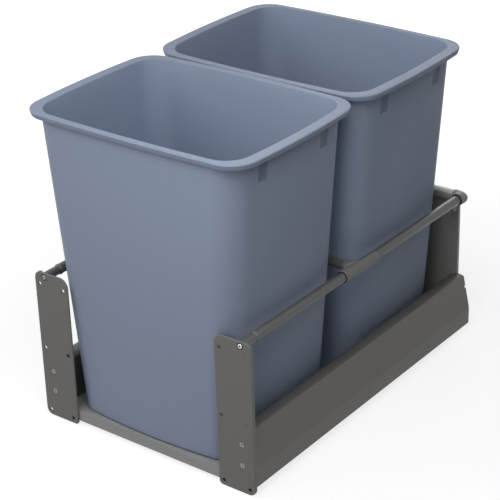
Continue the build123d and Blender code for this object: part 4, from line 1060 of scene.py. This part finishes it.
def make_corner(side):
    """Elbow from a gallery rail's end to the back rail's end, with its plug and the black ring that paints
    the shade in its mouth.
    """
    sign = 1.0 if side == "right" else -1.0
    node = "back_corner_" + side
    low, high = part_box(node)
    rail_low, rail_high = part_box("gallery_rail_" + side)
    back_low, back_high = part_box("back_rail")
    rail_x = (rail_low.x + rail_high.x) / 2
    rail_z = (rail_low.z + rail_high.z) / 2
    seam_x = back_high.x if sign > 0 else back_low.x
    turn_x = rail_x - sign * CORNER_TURN
    back_y = high.y - CORNER_RADIUS
    turn_y = back_y - CORNER_TURN
    mouth_y = low.y
    outward = (sign, 0.0, 0.0)
    centres, sideways, radii, swell = [], [], [], []

    def ring(x, y, side_vector, radius, fuller=0.0):
        centres.append((x, y, rail_z))
        sideways.append(side_vector)
        radii.append(radius)
        swell.append(fuller)

    ring(rail_x, rail_high.y + SOCKET_END_GAP, outward, SOCKET_RADIUS)
    ring(rail_x, mouth_y + SEAT_DEPTH, outward, SOCKET_RADIUS)
    ring(rail_x, mouth_y + SEAT_DEPTH, outward, SEAT_RADIUS)
    ring(rail_x, mouth_y + MOUTH_CHAMFER, outward, SEAT_RADIUS)
    for angle in np.radians(np.linspace(0, 90, EDGE_POINTS)):
        reach = CORNER_RADIUS - CORNER_EDGE * (1 - math.sin(angle))
        ring(rail_x, mouth_y + CORNER_EDGE * (1 - math.cos(angle)), outward, reach)
    for angle in np.radians(np.linspace(0, 90, TURN_RINGS)):
        lean = (sign * math.cos(angle), math.sin(angle), 0.0)
        x = turn_x + sign * CORNER_TURN * math.cos(angle)
        fuller = CORNER_SWELL * math.sin(2 * angle) * math.cos(angle)
        ring(x, turn_y + CORNER_TURN * math.sin(angle), lean, CORNER_RADIUS, fuller)
    backward = (0.0, 1.0, 0.0)
    for angle in np.radians(np.linspace(90, 0, EDGE_POINTS)):
        reach = CORNER_RADIUS - CORNER_EDGE * (1 - math.sin(angle))
        ring(seam_x + sign * (SEAM_WIDTH + CORNER_EDGE * (1 - math.cos(angle))), back_y, backward, reach)
    ring(seam_x + sign * SEAM_WIDTH, back_y, backward, SPIGOT_RADIUS)
    ring(seam_x - sign * SPIGOT_REACH, back_y, backward, SPIGOT_RADIUS)
    elbow = carried(node + "_elbow", centres, sideways, radii, swell)

    upright_low, upright_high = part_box("back_upright_" + side)
    inner = abs(seam_x) + BLOCK_SEAM_GAP
    outer = max(abs(upright_low.x), abs(upright_high.x)) - BLOCK_OUTER_INSET
    first_x, last_x = sorted((sign * inner, sign * outer))
    plug = block_piece(
        node + "_plug",
        (first_x, max(low.y, back_y - CORNER_RADIUS + BLOCK_FRONT_INSET), low.z),
        (last_x, high.y - BLOCK_BACK_INSET, rail_z - CORNER_RADIUS * BLOCK_TOP_SHARE),
        BLOCK_EDGE,
    )
    stand_in(join_pieces(elbow, [plug]), node, CORNER_GREY)

    # A black ring in the mouth paints the shade of the gap between the socket and the rail.
    front, back = mouth_y + CORNER_RING_FRONT, mouth_y + SEAT_DEPTH - CORNER_RING_BACK
    profile = tube_profile(front, back, SEAT_RADIUS - CORNER_RING_INSET, RING_BORE, RING_EDGE)
    black = turned("corner_shade_ring_" + side, "y", (rail_x, 0.0, rail_z), profile)
    black.data.materials.append(SHADE_BLACK)
    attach(black, BODY_OF[node])


for side in ("left", "right"):
    make_corner(side)

# %% [markdown]
# The back sheet ends at the top in a rolled hem, a thin gutter that holds the back rail from below
# and in front. Only the upper part of the light rail looks out over it. Two arcs about the rail's
# axis, joined at their ends, give its section.

# %% Hem of the back sheet
HEM_GAP = 0.2 * MM
HEM_THICK = 1.0 * MM
HEM_RISE_DEGREES = 33.0
HEM_STEPS = 25
HEM_END_INSET = 0.3 * MM


def make_hem():
    """Arc shell along the back rail.

    Point = axis + radius * (0, -cos a, sin a), a from under the rail up to the hem's edge.
    """
    rail_low, rail_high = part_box("back_rail")
    axis_y, axis_z = (rail_low.y + rail_high.y) / 2, (rail_low.z + rail_high.z) / 2
    inner = (rail_high.y - rail_low.y) / 2 + HEM_GAP
    angle = np.radians(np.linspace(-90.0, HEM_RISE_DEGREES, HEM_STEPS))
    spoke = np.stack([-np.cos(angle), np.sin(angle)], axis=1)
    section = np.concatenate([spoke * inner, spoke[::-1] * (inner + HEM_THICK)])
    section = section + np.array([axis_y, axis_z])
    around = len(section)
    points = np.empty((2, around, 3))
    points[0, :, 0], points[1, :, 0] = rail_low.x + HEM_END_INSET, rail_high.x - HEM_END_INSET
    points[:, :, 1:] = section
    faces = grid_faces(2, around, close_columns=True).tolist()
    step = np.arange(HEM_STEPS - 1)
    ends = np.stack([step, step + 1, around - 2 - step, around - 1 - step], axis=1)
    faces += ends.tolist() + (ends[:, ::-1] + around).tolist()
    hem = mesh_from("back_panel_hem", points, faces)
    hem.data.materials.append(BACK_COAT_WITH_PAINTED_LIGHT)
    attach(hem, BODY_OF["back_panel"])


make_hem()

# %% [markdown]
# Where the stub of the tee meets its collar, two round bars of one size cross. At the height of
# R sin p both are R cos p wide, so a fillet that also shrinks with cos p fills the nook between
# them and runs out to nothing at the top and bottom. A thin black ring at each open end paints the
# shade of the gap there.

# %% Tee connectors
TEE_RADIUS = 8.6 * MM
TEE_FILLET = 5.0 * MM
TEE_EDGE = 0.3 * MM
NOOK_LIFT_DEGREES = 88
NOOK_ROWS = 41
NOOK_ARC_POINTS = 13
NOOK_SINK = 0.94
NOOK_SHARP_DEGREES = 40.0
TEE_RING_RADIUS = 8.2 * MM
TEE_RING_WIDTH = 0.9 * MM
TEE_RING_EDGE = 0.25 * MM
STUB_RING_RADIUS = 7.9 * MM
STUB_RING_WIDTH = 0.6 * MM
RING_GAP = 0.02 * MM


def nook_fillet(name, rail_x, cross_y, rail_z, sign, facing):
    """Fillet in one nook of a tee, closed by the nook's own line.

    With w = R cos p and f = F cos p, its arc runs about (w + f, w + f) and its height is R sin p.
    """
    lift = np.radians(np.linspace(-NOOK_LIFT_DEGREES, NOOK_LIFT_DEGREES, NOOK_ROWS))
    wide = TEE_RADIUS * np.cos(lift)[:, None]
    fillet = TEE_FILLET * np.cos(lift)[:, None]
    angle = np.radians(np.linspace(0, 90, NOOK_ARC_POINTS))[None, :]
    away = wide + fillet - fillet * np.cos(angle)
    along = wide + fillet - fillet * np.sin(angle)
    inside = NOOK_SINK * wide
    away = np.concatenate([away, inside], axis=1)
    along = np.concatenate([along, inside], axis=1)
    x = rail_x - sign * away
    y = cross_y + facing * along
    z = np.broadcast_to(rail_z + TEE_RADIUS * np.sin(lift)[:, None], x.shape)
    points = np.stack([x, y, z], axis=2)
    rows, columns = x.shape
    faces = grid_faces(rows, columns, close_columns=True).tolist()
    faces.append(list(range(columns)))
    faces.append([(rows - 1) * columns + column for column in range(columns)][::-1])
    return mesh_from(name, points, faces, NOOK_SHARP_DEGREES)


def make_connector(side):
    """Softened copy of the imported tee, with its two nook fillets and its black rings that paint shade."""
    sign = 1.0 if side == "right" else -1.0
    node = "cross_rail_connector_" + side
    softened(node, MOULDED_GREY, edge=TEE_EDGE)
    low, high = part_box(node)
    cross_low, cross_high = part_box("cross_rail")
    rail_low, rail_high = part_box("gallery_rail_" + side)
    rail_x, rail_z = (rail_low.x + rail_high.x) / 2, (rail_low.z + rail_high.z) / 2
    cross_y = (cross_low.y + cross_high.y) / 2
    nooks = [
        nook_fillet("%s_nook_%d" % (node, facing), rail_x, cross_y, rail_z, sign, facing)
        for facing in (1, -1)
    ]
    blend = join_pieces(nooks[0], nooks[1:])
    blend.name = "tee_fillets_" + side
    blend.data.materials.append(MOULDED_GREY)
    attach(blend, BODY_OF[node])
    # The black rings paint the shade in the gaps at the tee's open ends.
    stub_x = low.x if sign > 0 else high.x
    stub_ends = sorted((stub_x - sign * STUB_RING_WIDTH, stub_x - sign * RING_GAP))
    ring_ends = (low.y - TEE_RING_WIDTH, low.y - RING_GAP)
    ring = tube_profile(*ring_ends, TEE_RING_RADIUS, RING_BORE, TEE_RING_EDGE)
    stub_ring = tube_profile(*stub_ends, STUB_RING_RADIUS, RING_BORE, RING_EDGE)
    rings = [
        turned("tee_shade_ring_" + side, "y", (rail_x, 0.0, rail_z), ring),
        turned("tee_stub_shade_ring_" + side, "x", (0.0, cross_y, rail_z), stub_ring),
    ]
    for ring in rings:
        ring.data.materials.append(SHADE_BLACK)
        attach(ring, BODY_OF[node])


for side in ("left", "right"):
    make_connector(side)

# %% [markdown]
# Pressed, folded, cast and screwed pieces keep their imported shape, with softened edges.

# %% Sheet, board, blocks and screws
softened("back_panel", BACK_COAT_WITH_PAINTED_LIGHT)
for side in ("left", "right"):
    softened("back_upright_" + side, BACK_COAT_WITH_PAINTED_LIGHT)
    softened("drawer_side_" + side, POWDER_COAT)
    softened("door_bracket_" + side, POWDER_COAT)
softened("back_rail", SATIN_RAIL, edge=0.25 * MM)
softened("base_board", BOARD, edge=0.5 * MM)
for side in ("left", "right"):
    softened("rail_front_fitting_" + side, RAIL_COAT, edge=0.3 * MM)
    softened("fixing_block_" + side, CAST_METAL, edge=0.4 * MM)
    softened("bracket_screws_" + side, SATIN_SCREW, edge=0.12 * MM)
    for name in ("cabinet_channel", "middle_channel", "drawer_channel", "front_foot", "back_foot"):
        softened(name + "_" + side, ZINC, edge=0.2 * MM)
    for name in ("side_rivets", "channel_rivets", "foot_screws", "back_panel_screws"):
        softened(name + "_" + side, DARK_SCREW, edge=0.15 * MM)
    for name in ("inner_cage", "outer_cage"):
        softened(name + "_" + side, BLACK_CAGE, edge=0.1 * MM)
    for name in ("inner_rollers", "outer_rollers"):
        softened(name + "_" + side, ZINC, edge=0.2 * MM)
# The two rail screws are alike; the right one takes the brighter, glossier finish and the left one the
# duller satin finish: a painted highlight on the right one and painted shade on the left one.
softened("rail_screw_right", BRIGHT_SCREW, edge=0.15 * MM)
softened("rail_screw_left", SATIN_SCREW, edge=0.15 * MM)
softened("base_screws", BRIGHT_SCREW, edge=0.15 * MM)

# %% [markdown]
# A thin black washer under the head of each screw that holds a rail to its bracket paints the
# shadow in the gap round the head, so the head stands out as a bright dot in a dark ring. A black
# disc at the bottom of every socket paints the shade there. In two of the six door holes in each
# bracket, a black plug in the back half of the plate paints the shade seen through the hole. Caps
# in the plate's own coat close two more on the right.

# %% Washers, socket discs and plugs that paint shade, and caps
# Sizes of the black socket discs that paint shade.
SOCKET_SHADE_RADIUS = 1.28 * MM
SOCKET_SHADE_DEPTH = 0.5 * MM
SOCKET_SHADE_THICK = 0.3 * MM
PLUG_RADIUS = 2.7 * MM
SHADE_PLUG_DEPTH = 1.3 * MM
PLUG_THICK = 1.1 * MM
HOLE_INSET = 8.3 * MM
HOLE_FOOT = 8.7 * MM
HOLE_SPACING_X = 42.0 * MM
HOLE_SPACING_Z = 99.0 * MM
SHADE_PLUGGED_HOLES = {"right": [(0, 0), (1, 0)], "left": [(0, 0), (0, 1)]}
CAPPED_HOLES = {"right": [(1, 1), (1, 2)], "left": []}
CAP_DEPTH = 0.35 * MM
WASHER_RADIUS = 4.65 * MM
WASHER_BORE = 3.36 * MM
WASHER_THICK = 0.5 * MM
WASHER_DEPTH = 1.86 * MM
WASHER_EDGE = 0.12 * MM
DISC_BORE = 0.02 * MM
DISC_AROUND = 32


def small_disc(name, axis_point, front, thick, radius, body, material=SHADE_BLACK):
    """Thin disc that faces the door side."""
    back = front + thick
    profile = [(front, DISC_BORE), (front, radius), (back, radius), (back, DISC_BORE)]
    disc = turned(name, "y", axis_point, profile, DISC_AROUND)
    disc.data.materials.append(material)
    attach(disc, body)


for side in ("left", "right"):
    screw_low, screw_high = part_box("rail_screw_" + side)
    bracket_low, bracket_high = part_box("door_bracket_" + side)
    centre = ((screw_low.x + screw_high.x) / 2, 0.0, (screw_low.z + screw_high.z) / 2)
    # The black washer paints the shadow in the gap round the screw head.
    back = bracket_low.y + WASHER_DEPTH
    washer_profile = tube_profile(back - WASHER_THICK, back, WASHER_RADIUS, WASHER_BORE, WASHER_EDGE)
    washer = turned("rail_shade_washer_" + side, "y", centre, washer_profile)
    washer.data.materials.append(SHADE_BLACK)
    body = BODY_OF["rail_screw_" + side]
    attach(washer, body)
    # A black disc at the bottom of the socket paints the shade there.
    front = screw_low.y + SOCKET_SHADE_DEPTH
    small_disc("rail_socket_shade_" + side, centre, front, SOCKET_SHADE_THICK, SOCKET_SHADE_RADIUS, body)
    fixing_low, fixing_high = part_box("bracket_screws_" + side)
    fixing_x = (fixing_low.x + fixing_high.x) / 2
    head_radius = (fixing_high.x - fixing_low.x) / 2
    # Black discs in the fixing screws' sockets paint the shade there.
    for number, z in enumerate((fixing_low.z + head_radius, fixing_high.z - head_radius)):
        front = fixing_low.y + SOCKET_SHADE_DEPTH
        name = "fixing_socket_%s_%d" % (side, number)
        body = BODY_OF["bracket_screws_" + side]
        small_disc(name, (fixing_x, 0.0, z), front, SOCKET_SHADE_THICK, SOCKET_SHADE_RADIUS, body)
    sign = 1.0 if side == "right" else -1.0
    outer_x = max(abs(bracket_low.x), abs(bracket_high.x)) - HOLE_INSET
    # Black plugs paint the shade seen through two holes; caps in the plate's coat close two more.
    for column, row in SHADE_PLUGGED_HOLES[side] + CAPPED_HOLES[side]:
        hole_x = sign * (outer_x - HOLE_SPACING_X * (1 - column))
        hole_z = bracket_low.z + HOLE_FOOT + HOLE_SPACING_Z * row
        capped = (column, row) in CAPPED_HOLES[side]
        name = "hole_%s_%s_%d_%d" % ("cap" if capped else "plug", side, column, row)
        front = bracket_low.y + (CAP_DEPTH if capped else SHADE_PLUG_DEPTH)
        material = POWDER_COAT if capped else SHADE_BLACK
        body = BODY_OF["door_bracket_" + side]
        small_disc(name, (hole_x, 0.0, hole_z), front, PLUG_THICK, PLUG_RADIUS, body, material)

# %% [markdown]
# The stage is a pale floor that runs out of sight. It is lit like the object, so it keeps the
# object's shadow. A light of its own, for the camera and for reflections alone, lifts it to paper
# white, and grows with the distance as the lamps fall off.

# %% Floor
FLOOR_LIFT_NEAR = 0.8
FLOOR_LIFT_FAR = 1.02
FLOOR_NEAR = 0.4
FLOOR_FAR = 1.3
FLOOR_REACH = 40.0
FLOOR_GREY = (0.35, 0.35, 0.35, 1)
FLOOR_ROUGHNESS = 0.9


def make_floor():
    """Square floor of four corner points, at the level of the feet."""
    corners = [(x * FLOOR_REACH, y * FLOOR_REACH, 0) for x, y in ((-1, -1), (1, -1), (1, 1), (-1, 1))]
    floor = mesh_from("studio_floor", corners, [(0, 1, 2, 3)])
    material = bpy.data.materials.new("pale_floor")
    material.use_nodes = True
    tree = material.node_tree
    shader = tree.nodes["Principled BSDF"]
    shader.inputs["Base Color"].default_value = FLOOR_GREY
    shader.inputs["Roughness"].default_value = FLOOR_ROUGHNESS
    shader.inputs["Specular IOR Level"].default_value = 0.0
    shader.inputs["Emission Color"].default_value = (1, 1, 1, 1)
    path = tree.nodes.new("ShaderNodeLightPath")
    seen = add_node(tree, "ShaderNodeMath", {"operation": "MAXIMUM"})
    wire(tree, path, "Is Camera Ray", seen, 0)
    wire(tree, path, "Is Glossy Ray", seen, 1)
    place = add_node(tree, "ShaderNodeTexCoord")
    distance = add_node(tree, "ShaderNodeVectorMath", {"operation": "LENGTH"})
    wire(tree, place, "Object", distance, 0)
    level = add_node(
        tree,
        "ShaderNodeMapRange",
        inputs={
            "From Min": FLOOR_NEAR,
            "From Max": FLOOR_FAR,
            "To Min": FLOOR_LIFT_NEAR,
            "To Max": FLOOR_LIFT_FAR,
        },
    )
    wire(tree, distance, "Value", level, "Value")
    lift = add_node(tree, "ShaderNodeMath", {"operation": "MULTIPLY"})
    wire(tree, level, "Result", lift, 1)
    wire(tree, seen, "Value", lift, 0)
    wire(tree, lift, "Value", shader, "Emission Strength")
    floor.data.materials.append(material)


make_floor()

# %% [markdown]
# The light is a ring of square softboxes. A large one far out on the left and two in front do
# most of the work. Two small ones hang half a metre over the front bin, where their light falls
# off fast: they fill its inside more than the rear bin's. One on the right lights the rims, and a
# low one behind keeps the back readable. Together they light a flat top so that its colour comes
# out as written.

# %% Light
SKY_AMBIENT = 0.1
LIGHT_AIM = Vector((0.0, -0.14, 0.4))
SOFTBOXES = {
    "front_left_softbox": ((-0.34, -1.05, 1.26), 0.8, 3.3),
    "far_left_softbox": ((-1.4, -0.9, 1.5), 1.0, 7.6),
    "near_right_softbox": ((0.4, -0.62, 0.95), 0.4, 1.25),
    "near_top_softbox": ((0.22, -0.36, 1.0), 0.4, 0.9),
    "low_front_softbox": ((0.4, -1.5, 0.76), 0.8, 3.6),
    "high_right_softbox": ((0.65, -0.4, 1.35), 0.7, 2.4),
    "low_back_softbox": ((-0.9, 1.9, 0.9), 1.0, 7.0),
}


def make_softbox(name, place, size, power):
    """Square lamp that looks at the front bin and isn't itself seen."""
    lamp = bpy.data.lights.new(name, "AREA")
    lamp.energy = power
    lamp.size = size
    holder = linked_object(name, lamp)
    holder.location = place
    holder.rotation_euler = (Vector(place) - LIGHT_AIM).to_track_quat("Z", "Y").to_euler()
    holder.visible_camera = False


for name, (place, size, power) in SOFTBOXES.items():
    make_softbox(name, place, size, power)


def make_sky():
    """Even white surroundings: dim for lighting, full white for the camera and for reflections."""
    world = bpy.data.worlds.new("studio_sky")
    world.use_nodes = True
    tree = world.node_tree
    background = tree.nodes["Background"]
    background.inputs["Color"].default_value = (1, 1, 1, 1)
    path = tree.nodes.new("ShaderNodeLightPath")
    seen = add_node(tree, "ShaderNodeMath", {"operation": "MAXIMUM"})
    wire(tree, path, "Is Camera Ray", seen, 0)
    wire(tree, path, "Is Glossy Ray", seen, 1)
    clear = add_node(tree, "ShaderNodeMath", {"operation": "MAXIMUM"})
    wire(tree, seen, "Value", clear, 0)
    wire(tree, path, "Is Transmission Ray", clear, 1)
    level = add_node(tree, "ShaderNodeMapRange", inputs={"To Min": SKY_AMBIENT, "To Max": 1.0})
    wire(tree, clear, "Value", level, "Value")
    wire(tree, level, "Result", background, "Strength")
    bpy.context.scene.world = world


make_sky()

# %% [markdown]
# The camera stands where the photographer stood: to the right of the frame's front, above it, and
# a little over two metres away with a long lens. The photograph leans by about two degrees, so
# the camera rolls to match.

# %% Camera
CAMERA_AZIMUTH = math.radians(37.9)
CAMERA_ELEVATION = math.radians(26.3)
CAMERA_ROLL = math.radians(-1.8)
CAMERA_DISTANCE = 2.3377
CAMERA_AIM = Vector((0.0, -0.005, 0.2145))
CAMERA_SIDESTEP = -12.3 * MM
CAMERA_RISE = -14.2 * MM
PHOTO_WIDTH = 500
FOCAL_PIXELS = 1673.5
SENSOR_WIDTH_MM = 36.0


def make_camera():
    """Camera that looks back along its own line of sight, rolled, then stepped sideways and down."""
    level = math.cos(CAMERA_ELEVATION)
    back = Vector(
        (math.sin(CAMERA_AZIMUTH) * level, -math.cos(CAMERA_AZIMUTH) * level, math.sin(CAMERA_ELEVATION))
    )
    right = Vector((math.cos(CAMERA_AZIMUTH), math.sin(CAMERA_AZIMUTH), 0.0))
    up = back.cross(right)
    rolled_right = math.cos(CAMERA_ROLL) * right + math.sin(CAMERA_ROLL) * up
    rolled_up = -math.sin(CAMERA_ROLL) * right + math.cos(CAMERA_ROLL) * up
    eye = CAMERA_AIM + back * CAMERA_DISTANCE + rolled_right * CAMERA_SIDESTEP + rolled_up * CAMERA_RISE
    turn = Matrix((rolled_right, rolled_up, back)).transposed().to_4x4()
    camera = bpy.data.cameras.new("photographers_camera")
    camera.sensor_width = SENSOR_WIDTH_MM
    camera.lens = FOCAL_PIXELS / PHOTO_WIDTH * camera.sensor_width
    holder = linked_object("photographers_camera", camera)
    holder.matrix_world = Matrix.Translation(eye) @ turn
    bpy.context.scene.camera = holder
    print("camera at", [round(value, 3) for value in eye], "lens", round(camera.lens, 1))


make_camera()
bpy.context.scene.view_settings.view_transform = "Standard"
